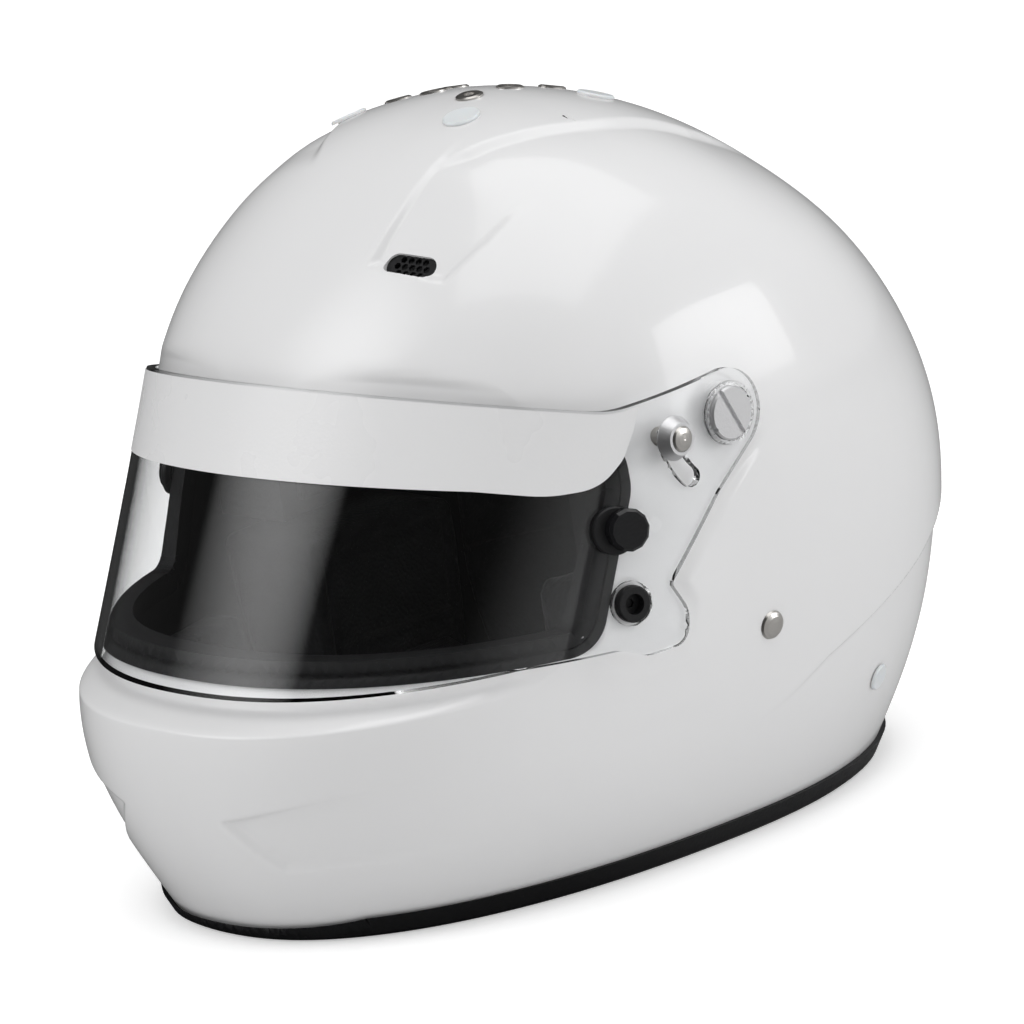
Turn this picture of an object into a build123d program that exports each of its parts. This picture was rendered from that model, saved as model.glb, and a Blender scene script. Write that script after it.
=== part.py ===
from build123d import *
import math
import os

import numpy as np

# A full-face auto racing helmet, in millimetres. It stands on the flat underside of its
# base trim at Z = 0, faces -Y, and its wearer's left is +X. Heights named here are taken
# from that floor, and places along Y from the middle of the whole length. Names that end
# in share or shares are fractions of the size that they go with.

# Shell
rim_height = 3.0
dome_height = 262.0
front_reach = 180.0
back_reach = 162.0
half_width = 126.5
ring_centre_y = 9.0
shell_wall = 5.5
overrun = 60.0
far_out = 400.0
height_shares = (0, .092, .191, .29, .382, .473, .565, .656, .748, .832, .901, .95, .981, .996)
front_shares = (.903, .962, 1.0, .989, .916, .827, .738, .658, .578, .476, .366, .264, .159, .064)
core_front_shares = (.903, .96, .978, .934, .853, .79, .722, .652, .578, .476, .366, .264, .159, .064)
back_shares = (.773, .859, .928, .973, 1.0, .996, .954, .877, .759, .609, .46, .321, .19, .074)
side_shares = (.742, .832, .911, .963, .991, 1.0, .987, .955, .898, .794, .656, .506, .318, .134)
front_power_shares = (2.3, 2.37, 2.44, 2.45, 2.45, 2.45, 2.45, 2.45, 2.45, 2.45, 2.45, 2.45, 2.45, 2.45)
back_power_share = 2.2

# Visor form: ruled between a ring at its foot and a ring at its brow, with straight sides
visor_half_width = 128.5
visor_centre_y = -12.0
visor_back_y = 30.0
visor_foot_height = 93.0
visor_foot_reach = 143.0
visor_foot_power_share = 2.25
visor_brow_height = 181.0
visor_brow_reach = 100.0
visor_brow_power_share = 1.965
visor_low = 70.0
visor_high = 204.0
visor_thickness = 3.0
visor_lean_share = 1.115

# Visor outline in side view, as shares of its depth ahead of the pivot and of its height
pivot_y = -5.0
pivot_height = 160.5
ear_radius = 15.3
ear_top_angle = 96.6
ear_foot_angle = -52.0
visor_depth = 152.0
visor_foot = 89.0
visor_height = 97.5
visor_outline_shares = (
    (.055, .468), (.221, .2), (.184, .095), (.197, -.022), (.309, -.026), (.375, .018),
    (.6, .028), (1.283, -.036), (1.283, 1.25), (.296, .838),
)
visor_corners = (20.0, 2.0, 9.0, 7.0, 8.0, 10.0, 60.0, 0, 0, 30.0)
visor_travel = 36.0

# Recess in the shell that the visor lies in
recess_margin = 5.0
floor_side_gap = 0.5
floor_front_gap = 2.25

# Eyeport in side view, and its gasket
eyeport_sill = 97.5
eyeport_corner_y = -71.5
eyeport_back_y = -52.0
eyeport_knee_height = 144.5
eyeport_back_height = 157.5
eyeport_brow_slope_share = 0.214
eyeport_front_y = -200.0
eyeport_corners = (0, 10.0, 12.0, 8.0, 0)
gasket_cover = 6.0
gasket_seat = 0.8
gasket_lip = 1.5
gasket_overhang = 2.5
gasket_clearance = 0.3
groove_width = 1.8
groove_depth = 1.3
groove_from_edge = 1.2

# Base trim
trim_top = 8.0
trim_lip = 1.7
trim_round = 1.2

# Visor pivots: a screw, a nut inside and a raised boss on the visor
ear_pad_radius = 10.0
ear_pad_gap = 0.9
boss_radius = 11.2
boss_height = 1.2
screw_head_radius = 9.4
screw_head_height = 2.7
screw_seat = 0.6
screw_head_clearance = 0.3
screw_slot_width = 1.8
screw_slot_depth = 1.2
screw_notch_radius = 0.9
shoulder_radius = 7.0
running_clearance = 0.05
pivot_thread_radius = 4.0
pivot_thread_length = 9.0
nut_barrel_radius = 5.6
nut_flange_radius = 11.0
nut_flange_height = 1.6
nut_seat_depth = 1.2
nut_seat_gap = 0.4
fastener_pocket_gap = 0.6

# Stop stud and the cone nut on it, which run in the visor's curved slot
stop_radius = 26.4
stop_angle = 185.4
stud_radius = 3.4
slot_width = 7.2
slot_spare_angle = 0.8
stud_head_radius = 4.4
stud_head_length = 2.4
stud_dome = 1.4
stud_inner_length = 3.0
cone_base_radius = 7.8
cone_top_radius = 5.6
cone_height = 4.2
cone_gap = 0.1
cone_lift = 0.35

# Lock post and its screw
post_y = -54.9
post_height = 105.5
post_hole_radius = 7.7
post_head_radius = 6.4
post_head_height = 3.0
post_proud = 1.6
post_stem_radius = 5.0
post_chamfer = 0.6
lock_screw_radius = 3.6
lock_screw_head = 1.2
lock_screw_drop = 2.4
lock_shank_radius = 2.0
lock_shank_length = 9.0
hex_across = 3.0
hex_depth = 1.0

# Tear-off posts on the visor
knob_y = -57.0
knob_height_z = 131.5
knob_base_radius = 8.3
knob_base_height = 2.2
knob_sink = 3.2
knob_radius = 7.5
knob_offset = 3.4
knob_thickness = 5.0
knob_cap = 1.6
knob_step = 0.5
knob_sides = 12
knob_spindle_radius = 2.5
tearoff_nut_radius = 4.6
tearoff_nut_height = 1.3
tearoff_slot_width = 1.2
tearoff_slot_depth = 0.6
knob_gap = 0.2

# Sun strip along the visor's top edge, its lower edge in the visor outline's shares
strip_thickness = 0.25
strip_inset = 0.8
strip_gap = 0.06
strip_outline_shares = (
    (.238, .83), (.256, .764), (.29, .672), (.352, .59), (.46, .592), (.58, .645),
    (.671, .672), (.776, .702), (1.283, .82), (1.283, 1.3), (.22, 1.1),
)
strip_corners = (0, 20.0, 12.0, 18.0, 40.0, 40.0, 0, 60.0, 0, 0, 0)

# Liners: the head's cavity as rings from its mouth to its top
cavity_top = 221.0
cavity_mouth = 15.0
cavity_front = 106.0
cavity_back = 112.0
cavity_side = 87.5
cavity_height_shares = (0, .22, .42, .61, .755, .855, .93, .968)
cavity_front_shares = (.93, .98, 1.0, .975, .88, .755, .58, .39)
cavity_back_shares = (.88, .965, 1.0, 1.0, .945, .82, .61, .41)
cavity_side_shares = (.965, .99, 1.0, .995, .95, .835, .64, .43)
liner_gap = 0.6
eps_edge = 28.0
eps_cheek_y = -39.0
eps_cheek_back_y = 39.0
eps_cheek_height = 111.0
eps_temple_height = 153.0
eps_brow_y = -61.0
eps_brow_height = 169.0
comfort_thickness = 7.0
comfort_margin = 5.0

# Soft pads at the mouth of the helmet
pad_front_y = -46.0
pad_back_y = 33.0
pad_foot = 15.0
pad_top = 107.0
pad_corner = 9.0
pad_face_x = 66.0
pad_face_depth = 125.0
foam_foot = 20.0
foam_top = 80.0
foam_back_y = -52.0
foam_thickness = 17.0
roll_foot = 9.6
roll_top = 27.6
roll_front_y = 41.0
roll_thickness = 21.0

# Chin straps, their anchors and their rings
anchor_y = 9.0
anchor_height = 80.5
rivet_radius = 5.2
rivet_dome = 2.2
rivet_shank_radius = 2.5
anchor_width = 20.0
anchor_length = 30.0
anchor_thickness = 2.0
strap_width = 24.0
strap_thickness = 1.8
strap_wall_gap = 0.4
strap_slot_height = 56.0
strap_hang_x = 56.0
strap_loop_height = 36.0
strap_loop_width = 13.0
strap_loop_drop = 8.4
strap_fold_low = 13.0
strap_fold_high = 47.0
strap_fold_pitch = 4.4
strap_tail_low = 22.0
strap_bend = 5.0
pad_slot_gap = 0.5
ring_wire_radius = 2.0
ring_inner_width = 26.0
ring_drop = 20.0
ring_pitch = 5.2
snap_radius = 6.0
snap_height = 1.6
snap_above_fold = 13.0

# Small fittings let into the shell
vent_x = 47.0
vent_y = -69.0
vent_half_length = 10.5
vent_half_height = 4.4
vent_mesh_depth = 3.4
vent_mesh_thickness = 1.2
vent_hole_radius = 1.35
vent_hole_pitch = 3.1
vent_turn = -9.0
vent_scoop_length = 27.0
vent_scoop_height = 12.0
vent_scoop_depth = 3.2
eyelet_radius = 5.0
eyelet_bore = 2.0
eyelet_height = 0.9
eyelet_tube_radius = 3.2
eyelet_tube_length = 7.0
eyelet_spots = ((-35.7, 5.2), (-21.0, 9.5), (7.3, 2.2), (-22.0, 21.0), (7.3, 21.4), (9.5, 39.2))
crown_plug_radius = 6.8
crown_plug_height = 1.1
crown_plug_stem = 4.5
crown_plug_length = 4.0
crown_plug_spots = ((-50.0, -6.8), (20.5, -14.0), (30.2, 40.9), (-40.5, 45.0))
rear_plug_y = 76.4
rear_plug_height = 40.5
rear_plug_radius = 4.9
rear_plug_dome = 1.0
rear_plug_stem = 3.0
rear_plug_length = 4.0


def sampled(reach, shares):
    # One profile of the shell, from the rim to the crown, as dense points of a smooth curve
    points = [(reach * r, dome_height * h) for r, h in zip(shares, height_shares)]
    start = (reach * (shares[1] - shares[0]), dome_height * height_shares[1])
    curve = Spline(*points, (0, dome_height), tangents=[start, (-1, 0)])
    places = []
    for step in range(161):
        spot = curve.position_at(step / 160)
        lean = curve.tangent_at(step / 160)
        places.append((spot.X, spot.Y, lean.X, lean.Y))
    return np.array(places)


profiles = {
    "front": sampled(front_reach, front_shares),
    "core": sampled(front_reach, core_front_shares),
    "back": sampled(back_reach, back_shares),
    "side": sampled(half_width, side_shares),
}


def reach_at(name, height, inset):
    # How far a profile, moved inwards by inset, stands out at a height above the rim
    x, z, dx, dz = profiles[name].T
    reach = x - inset * dz
    up = z + inset * dx
    return float(np.interp(height, up, reach))


def quarter(side, length, power, steps=4):
    # One quarter of a rounded outline: the points from its side to its front or back
    spots = []
    for i in range(steps + 1):
        turn = math.pi / 2 * i / steps
        c, s = math.cos(turn), math.sin(turn)
        r = (c ** power + s ** power) ** (-1 / power)
        spots.append((side * r * c if i < steps else 0, length * r * s if i else 0))
    return spots


def curve_edge(spots, sx, sy, centre_y, height):
    # A smooth edge through a quarter's points, in the quadrant that sx and sy name
    points = [Vector(sx * x, centre_y + sy * y, height) for x, y in spots]
    speed = math.pi / 2
    start, end = Vector(0, sy * spots[-1][1] * speed, 0), Vector(-sx * spots[0][0] * speed, 0, 0)
    if sx * sy < 0:
        points.reverse()
        start, end = -end, -start
    places = [i / (len(points) - 1) for i in range(len(points))]
    return Edge.make_spline(points, tangents=[start, end], parameters=places, scale=False)


def ring(height, front, back, side, front_power, back_power=back_power_share):
    # A level ring of four smooth quarters, tangent where they meet
    edges = []
    for sx, sy, length, power in (
        (1, 1, back, back_power), (-1, 1, back, back_power),
        (-1, -1, front, front_power), (1, -1, front, front_power),
    ):
        edges.append(curve_edge(quarter(side, length, power), sx, sy, ring_centre_y, height))
    return Wire(edges)


def body(inset, front="front"):
    # The helmet's form, moved inwards by inset, as one closed solid
    crown = dome_height - inset
    rings = []
    for share, power in zip(height_shares, front_power_shares):
        z = share * crown
        reaches = [reach_at(name, z, inset) for name in (front, "back", "side")]
        rings.append(ring(rim_height + z, *reaches, power))
    return Solid.make_loft([*rings, Vertex(0, ring_centre_y, rim_height + crown)])


def visor_ring(height, side_inset, reach_inset):
    # A level ring of the visor's form: two front quarters and straight sides behind them
    k = (height - visor_foot_height) / (visor_brow_height - visor_foot_height)
    side = visor_half_width - side_inset
    foot = quarter(side, visor_foot_reach - reach_inset, visor_foot_power_share)
    brow = quarter(side, visor_brow_reach - reach_inset, visor_brow_power_share)
    spots = [(a[0] + (b[0] - a[0]) * k, a[1] + (b[1] - a[1]) * k) for a, b in zip(foot, brow)]
    left_back, left_front = Vector(side, visor_back_y, height), Vector(side, visor_centre_y, height)
    right_back, right_front = Vector(-side, visor_back_y, height), Vector(-side, visor_centre_y, height)
    return Wire([
        Edge.make_line(right_front, right_back),
        Edge.make_line(right_back, left_back),
        Edge.make_line(left_back, left_front),
        curve_edge(spots, 1, -1, visor_centre_y, height),
        curve_edge(spots, -1, -1, visor_centre_y, height),
    ])


def visor_form(side_inset, reach_inset):
    # The visor's outer form, moved inwards, as a solid that is ruled from low to high
    rings = [visor_ring(height, side_inset, reach_inset) for height in (visor_low, visor_high)]
    return Solid.make_loft(rings, ruled=True)


def in_visor(shares):
    # Places in side view from shares of the visor's depth and height
    return [(pivot_y - u * visor_depth, visor_foot + v * visor_height) for u, v in shares]


def prism(face):
    # A side view, drawn in Y and Z, carried through the whole width
    return extrude(Plane.YZ * face, amount=far_out / 2, both=True)


def drawn(points, radii):
    # A closed outline with rounded corners
    return make_face(FilletPolyline(*points, radius=list(radii), close=True))


def turned(*points):
    # A round piece from its half section, as radius and height along +Z
    return revolve(make_face(Polyline(*[(r, 0, z) for r, z in points], close=True)), Axis.Z)


def rod(radius, low, high):
    # A plain cylinder along +Z between two heights
    return Pos(0, 0, low) * Cylinder(radius, high - low, align=(Align.CENTER, Align.CENTER, Align.MIN))


def stand(point, out, shape):
    # A piece made along +Z, stood at a point and pointing out, its own +X level and to the rear
    across = Vector(0, 0, 1).cross(out)
    if across.length < 1e-6:
        across = Vector(0, 1, 0)
    return Plane(origin=point, x_dir=across, z_dir=out) * shape


def both(*shapes):
    # The pieces of the wearer's left, and the same on the right
    pieces = []
    for shape in shapes:
        pieces.extend(shape.solids())
        pieces.extend(mirror(shape, Plane.YZ).solids())
    return Compound(pieces)


def on_side(form, y, z):
    # The outer point and normal of a form on the wearer's left, at a place in side view
    hits = form.find_intersection_points(Axis((far_out, y, z), (-1, 0, 0)))
    point, out = max(hits, key=lambda hit: hit[0].X)
    return point, out if out.X > 0 else -out


def on_crown(form, x, y):
    # The upper point and normal of a form above a place in plan
    hits = form.find_intersection_points(Axis((x, y, far_out), (0, 0, -1)))
    point, out = max(hits, key=lambda hit: hit[0].Z)
    return point, out if out.Z > 0 else -out


# Outlines in side view
def polar(radius, angle):
    turn = math.radians(angle)
    return (pivot_y + radius * math.cos(turn), pivot_height + radius * math.sin(turn))


ear = Pos(pivot_y, pivot_height) * Circle(ear_radius)
visor_points = [polar(ear_radius, ear_foot_angle), *in_visor(visor_outline_shares), polar(ear_radius, ear_top_angle)]
visor_face = drawn(visor_points, (0, *visor_corners, 0)) + ear
recess_face = offset(visor_face, recess_margin)
eyeport_points = [
    (eyeport_front_y, eyeport_sill),
    (eyeport_corner_y, eyeport_sill),
    (eyeport_back_y, eyeport_knee_height),
    (eyeport_back_y, eyeport_back_height),
    (eyeport_front_y, eyeport_back_height + eyeport_brow_slope_share * (eyeport_back_y - eyeport_front_y)),
]
eyeport_face = drawn(eyeport_points, eyeport_corners)
gasket_face = offset(eyeport_face, gasket_cover)
gasket_inner_face = offset(eyeport_face, -gasket_overhang)
eps_brow_slope = eyeport_brow_slope_share * (eps_brow_y - eyeport_front_y)
eps_points = [
    (far_out, eps_edge), (eps_cheek_back_y, eps_edge), (eps_cheek_back_y, eps_cheek_height),
    (eps_cheek_y, eps_cheek_height), (eps_cheek_y, eps_temple_height), (eps_brow_y, eps_brow_height),
    (eyeport_front_y, eps_brow_height + eps_brow_slope), (eyeport_front_y, far_out), (far_out, far_out),
]
eps_face = make_face(Polyline(*eps_points, close=True))

# Forms that several pieces share
outer_form = body(0)
inner_form = body(shell_wall, "core")
floor_side = visor_thickness + floor_side_gap
floor_front = visor_thickness * visor_lean_share + floor_front_gap
recess_floor = visor_form(floor_side, floor_front)
gasket_floor = visor_form(floor_side + gasket_seat, floor_front + gasket_seat)
visor_outer = visor_form(0, 0)
visor_inner = visor_form(visor_thickness, visor_thickness * visor_lean_share)

# Places of the fastenings on the wearer's left
left = Vector(1, 0, 0)
pivot_spot = Vector(visor_half_width, pivot_y, pivot_height)
stop_y, stop_z = polar(stop_radius, stop_angle)
post_spot, post_out = on_side(visor_outer, post_y, post_height)
knob_spot, knob_out = on_side(visor_outer, knob_y, knob_height_z)
rivet_spot, rivet_out = on_side(outer_form, anchor_y, anchor_height)
rear_spot, rear_out = on_side(outer_form, rear_plug_y, rear_plug_height)
vent_spot, vent_out = on_crown(outer_form, vent_x, vent_y)
eyelet_places = [on_crown(outer_form, x, y) for x, y in eyelet_spots]
crown_plug_places = [on_crown(outer_form, x, y) for x, y in crown_plug_spots]
pad_top_x = visor_half_width - visor_thickness - ear_pad_gap
wall_x = inner_form.find_intersection_points(Axis((far_out, pivot_y, pivot_height), (-1, 0, 0)))
wall_x = max(hit[0].X for hit in wall_x)
nut_seat_x = wall_x + nut_seat_depth
stop_wall_x = inner_form.find_intersection_points(Axis((far_out, stop_y, stop_z), (-1, 0, 0)))
stop_wall_x = max(hit[0].X for hit in stop_wall_x)


def make_shell():
    # The moulded shell: recess, gasket seat, then hollowed, pierced and fitted with ear pads
    block = outer_form - (prism(recess_face) - recess_floor)
    block = block - (prism(gasket_face) - gasket_floor)
    block = block.solids().sort_by(SortBy.VOLUME)[-1]
    base = block.faces().sort_by(Axis.Z)[0]
    rim = Face(base.outer_wire(), [inner_form.faces().sort_by(Axis.Z)[0].outer_wire()])
    skin = [face for face in block.faces() if not face.is_same(base)]
    shell = Solid(Shell(skin + inner_form.faces().sort_by(Axis.Z)[1:] + [rim]))
    shell = shell - prism(eyeport_face)
    pad = stand(Vector(pad_top_x, pivot_y, pivot_height), left, rod(ear_pad_radius, wall_x - pad_top_x, 0))
    shell = shell + both(pad)
    scoop = scale(Sphere(1), by=(vent_scoop_length, vent_scoop_height, vent_scoop_depth))
    scoop = stand(vent_spot, vent_out, Rot(0, 0, vent_turn) * scoop)
    mouth = extrude(SlotOverall(vent_half_length * 2, vent_half_height * 2), amount=overrun / 4, both=True)
    mouth = stand(vent_spot, vent_out, Rot(0, 0, vent_turn) * mouth)
    cuts = [*scoop.solids(), *mouth.solids()]
    bore = nut_barrel_radius + running_clearance
    seat = nut_seat_x - visor_half_width
    through = rod(bore, -overrun, 0) + rod(nut_flange_radius + nut_seat_gap, -overrun, seat)
    through = stand(pivot_spot, left, through)
    stud = stand(Vector(0, stop_y, stop_z), left, rod(stud_radius + running_clearance, 0, far_out))
    lock = stand(post_spot, post_out, rod(lock_shank_radius + running_clearance, -overrun / 2, 0))
    rivet = stand(rivet_spot, left, rod(rivet_shank_radius + running_clearance, -overrun / 2, overrun))
    plug = stand(rear_spot, rear_out, rod(rear_plug_stem + running_clearance, -rear_plug_length, overrun))
    cuts.extend(both(through, stud, lock, rivet, plug).solids())
    for point, out in eyelet_places:
        cuts.append(stand(point, out, rod(eyelet_tube_radius + running_clearance, -overrun / 3, overrun)).solid())
    for point, out in crown_plug_places:
        cuts.append(stand(point, out, rod(crown_plug_stem + running_clearance, -crown_plug_length, overrun)).solid())
    return shell - cuts


def make_base_trim(shell):
    # The rubber channel that grips the shell's rim and stands on the floor
    def lean(name, height, inset):
        low = reach_at(name, rim_height, inset)
        high = reach_at(name, rim_height * 2, inset)
        return low + (high - low) * (height - rim_height * 2) / rim_height

    def rings(levels):
        wires = []
        for height, inset in levels:
            reaches = [lean(name, height, inset) for name in ("front", "back", "side")]
            wires.append(ring(height, *reaches, front_power_shares[0]))
        return Solid.make_loft(wires, ruled=True)

    outer = rings([(0, trim_round - trim_lip), (trim_round, -trim_lip), (trim_top, -trim_lip)])
    inner_inset = shell_wall + trim_lip
    inner = rings([(-trim_lip, inner_inset + trim_round), (trim_round, inner_inset), (trim_top * 2, inner_inset)])
    return outer - inner - shell


def make_gasket(shell):
    # The rubber gasket round the eyeport, with the two ridges that the visor closes on
    top = visor_form(visor_thickness + gasket_clearance, visor_thickness * visor_lean_share + gasket_clearance)
    block = prism(gasket_face - gasket_inner_face) & top
    groove_inner = offset(eyeport_face, groove_from_edge)
    groove_outer = offset(eyeport_face, groove_from_edge + groove_width)
    deep = gasket_clearance + groove_depth
    groove_floor = visor_form(visor_thickness + deep, visor_thickness * visor_lean_share + deep)
    block = block - (prism(groove_outer - groove_inner) - groove_floor)
    gasket = block - body(shell_wall + gasket_lip, "core") - shell
    return gasket.solids().sort_by(SortBy.VOLUME)[-1]


def make_visor():
    # The visor sheet with raised pivot bosses, a curved slot and a closed lock hole each side
    sheet = (prism(visor_face) & visor_outer) - visor_inner
    boss = stand(pivot_spot, left, rod(boss_radius, -visor_thickness / 2, boss_height))
    sheet = sheet + both(boss)
    bore = rod(shoulder_radius + running_clearance, -overrun / 4, overrun / 4)
    sink = rod(screw_head_radius + screw_head_clearance, -screw_seat, overrun / 4)
    first = stop_angle - slot_spare_angle
    last = stop_angle + visor_travel + slot_spare_angle
    middle = (first + last) / 2
    path = ThreePointArc(polar(stop_radius, first), polar(stop_radius, middle), polar(stop_radius, last))
    ends = [Pos(*polar(stop_radius, angle)) * Circle(slot_width / 2) for angle in (first, last)]
    slot = extrude(Plane.YZ * (trace(path, slot_width) + ends), amount=far_out / 2)
    lock = stand(post_spot, post_out, rod(post_hole_radius, -overrun / 4, overrun / 4))
    knob = rod(knob_spindle_radius + running_clearance, -overrun / 4, overrun / 4)
    nut_seat = rod(tearoff_nut_radius + running_clearance, -overrun / 4, tearoff_nut_height - visor_thickness)
    knob = stand(knob_spot, knob_out, knob + nut_seat)
    cuts = both(stand(pivot_spot, left, bore + sink), slot, lock, knob)
    return sheet - cuts.solids()


def make_sun_strip():
    # The film along the visor's top edge, ending in a rounded tab on each side
    lower = drawn(in_visor(strip_outline_shares), strip_corners)
    face = lower & offset(visor_face, -strip_inset)
    high = strip_gap + strip_thickness
    skin = visor_form(-high, -high * visor_lean_share)
    return (prism(face) & skin) - visor_form(-strip_gap, -strip_gap * visor_lean_share)


def make_pivot_screws():
    # Large slotted screws whose shoulders carry the visor
    top = boss_height + screw_head_height / 2
    under = top - screw_head_height
    shoulder = pad_top_x - visor_half_width
    edge = screw_slot_depth / 2
    screw = turned(
        (0, top), (screw_head_radius - edge, top), (screw_head_radius, top - edge), (screw_head_radius, under),
        (shoulder_radius, under), (shoulder_radius, shoulder), (pivot_thread_radius, shoulder),
        (pivot_thread_radius, shoulder - pivot_thread_length), (0, shoulder - pivot_thread_length),
    )
    slot = Pos(0, 0, top) * Box(far_out, screw_slot_width, screw_slot_depth * 2)
    notch = rod(screw_notch_radius, under - screw_slot_depth, top + screw_slot_depth)
    notches = [Pos(0, side * screw_head_radius) * notch for side in (-1, 1)]
    screw = screw - [slot, *notches]
    return both(stand(pivot_spot, left, Rot(0, 0, 117) * screw))


def make_pivot_nuts():
    # Flanged nuts that the pivot screws run into from inside the shell
    shoulder = pad_top_x - visor_half_width
    inside = nut_seat_x - visor_half_width
    nut = turned(
        (pivot_thread_radius, shoulder - screw_slot_depth), (nut_barrel_radius, shoulder - screw_slot_depth),
        (nut_barrel_radius, inside), (nut_flange_radius, inside), (nut_flange_radius, inside - nut_flange_height),
        (pivot_thread_radius, inside - nut_flange_height),
    )
    return both(stand(pivot_spot, left, nut))


cone_base = visor_half_width + cone_lift
cone_step = cone_base + cone_height - stud_head_length


def make_stop_studs():
    # Domed studs that stop the visor, fixed through the shell
    inside = stop_wall_x - stud_inner_length
    radius = stud_head_radius
    top = cone_base + cone_height
    edge = [(stud_radius, inside), (stud_radius, cone_step), (radius, cone_step), (radius, top)]
    dome = [(radius * math.cos(math.radians(a)), top + stud_dome * math.sin(math.radians(a))) for a in (30, 60)]
    stud = turned((0, inside), *edge, *dome, (0, top + stud_dome))
    return both(stand(Vector(0, stop_y, stop_z), left, stud))


def make_friction_nuts():
    # Cone nuts round the studs, just clear of the visor's face
    low = cone_base
    high = low + cone_height
    inner = stud_radius + cone_gap
    wide = stud_head_radius + cone_gap
    nut = turned(
        (inner, low), (cone_base_radius, low), (cone_base_radius, low + cone_lift), (cone_top_radius, high),
        (wide, high), (wide, cone_step), (inner, cone_step),
    )
    return both(stand(Vector(0, stop_y, stop_z), left, nut))


def make_lock_posts():
    # Snap posts on the shell that the visor's lobes spring over
    low = on_axis(post_spot, post_out) - overrun / 4
    top = post_proud
    under = top - post_head_height
    post = turned(
        (lock_shank_radius, low), (post_stem_radius, low), (post_stem_radius, under),
        (post_head_radius, under), (post_head_radius, top - post_chamfer), (post_head_radius - post_chamfer, top),
        (lock_screw_radius, top), (lock_screw_radius, -lock_screw_drop),
        (lock_shank_radius, -lock_screw_drop - lock_screw_head),
    )
    post = stand(post_spot, post_out, post) - seat_form
    return both(post.solids().sort_by(SortBy.VOLUME)[-1])


def on_axis(point, out):
    # Where the recessed shell lies along a fastening's axis, measured from the visor's face
    spots = seat_form.find_intersection_points(Axis(point, -out))
    return max((hit[0] - point).dot(out) for hit in spots)


def make_lock_screws():
    # Countersunk socket screws at the foot of the lock posts' bores, clear of the visor that passes over them
    top = -lock_screw_drop
    low = top - lock_screw_head
    head = lock_screw_radius - running_clearance
    shank = lock_shank_radius - running_clearance
    foot = on_axis(post_spot, post_out) - lock_shank_length / 2
    screw = turned((0, top), (head, top), (shank, low), (shank, foot), (0, foot))
    socket = extrude(RegularPolygon(hex_across / 2, 6, major_radius=False), amount=hex_depth * 2)
    screw = screw - Pos(0, 0, top - hex_depth) * socket
    return both(stand(post_spot, post_out, screw))


def make_tearoff_bases():
    # Round bases on the visor, each with the spindle that its knob turns on
    top = knob_base_height
    tip = top + knob_thickness - knob_cap - knob_gap
    radius = knob_base_radius
    base = turned(
        (0, -knob_sink), (radius, -knob_sink), (radius, top - knob_step), (radius - knob_step, top),
        (knob_spindle_radius, top), (knob_spindle_radius, tip), (0, tip),
    )
    base = stand(knob_spot, knob_out, base) - visor_outer
    spindle = stand(knob_spot, knob_out, rod(knob_spindle_radius, -visor_thickness * 2, 0)) - visor_inner
    return both((base + spindle).solids().sort_by(SortBy.VOLUME)[-1])


def make_knob(sign):
    # The eccentric knob: a many-sided grip with a flat face, turning on the base's spindle
    low = knob_base_height + knob_gap
    high = knob_base_height + knob_thickness
    disc = extrude(Pos(knob_offset, 0) * RegularPolygon(knob_radius, knob_sides), amount=high - low)
    disc = Pos(0, 0, low) * disc
    disc = chamfer(disc.faces().sort_by(Axis.Z)[-1].edges(), knob_step * 2)
    bore = rod(knob_spindle_radius + running_clearance, low - knob_gap, high - knob_cap)
    knob = stand(knob_spot, knob_out, disc - bore)
    return knob if sign > 0 else mirror(knob, Plane.YZ)


def make_tearoff_nuts():
    # Slotted nuts let into the visor's inner face, holding the tear-off bases
    top = tearoff_nut_height - visor_thickness
    nut = rod(tearoff_nut_radius, -visor_thickness * 2, top) - rod(knob_spindle_radius, -overrun, overrun)
    slot = Pos(0, 0, -visor_thickness) * Box(far_out, tearoff_slot_width, tearoff_slot_depth * 2)
    return both(stand(knob_spot, knob_out, nut - slot) - visor_inner)


def cavity(inset):
    # The space for the head, as a closed form
    wires = []
    for z, f, b, s in zip(cavity_height_shares, cavity_front_shares, cavity_back_shares, cavity_side_shares):
        height = cavity_mouth + z * (cavity_top - inset - cavity_mouth)
        front, back, side = f * cavity_front - inset, b * cavity_back - inset, s * cavity_side - inset
        wires.append(ring(height, front, back, side, back_power_share))
    return Solid.make_loft([*wires, Vertex(0, ring_centre_y, cavity_top - inset)])


def make_eps_liner():
    # The moulded energy-absorbing liner, open below the cheeks and at the eyeport
    liner = (prism(eps_face) & body(shell_wall + liner_gap, "core")) - cavity(0)
    pocket = rod(nut_flange_radius + fastener_pocket_gap, -overrun / 2, 0)
    low = stud_inner_length + fastener_pocket_gap
    nut = stand(Vector(nut_seat_x + fastener_pocket_gap, pivot_y, pivot_height), left, pocket)
    nut = nut & (Pos(wall_x, pivot_y, pivot_height) * Box(low * 2, far_out, far_out))
    stud = stand(Vector(stop_wall_x, stop_y, stop_z), left, rod(stud_radius + fastener_pocket_gap, -low, low))
    cuts = [*both(nut, stud).solids()]
    for point, out in eyelet_places:
        tube = rod(eyelet_tube_radius + fastener_pocket_gap, -eyelet_tube_length - fastener_pocket_gap, 0)
        cuts.append(stand(point, out, tube).solid())
    return liner - cuts


def make_comfort_liner():
    # The fabric liner over the crown and the back of the head
    face = offset(eps_face, -comfort_margin)
    return (prism(face) & cavity(liner_gap)) - cavity(comfort_thickness)


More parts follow.
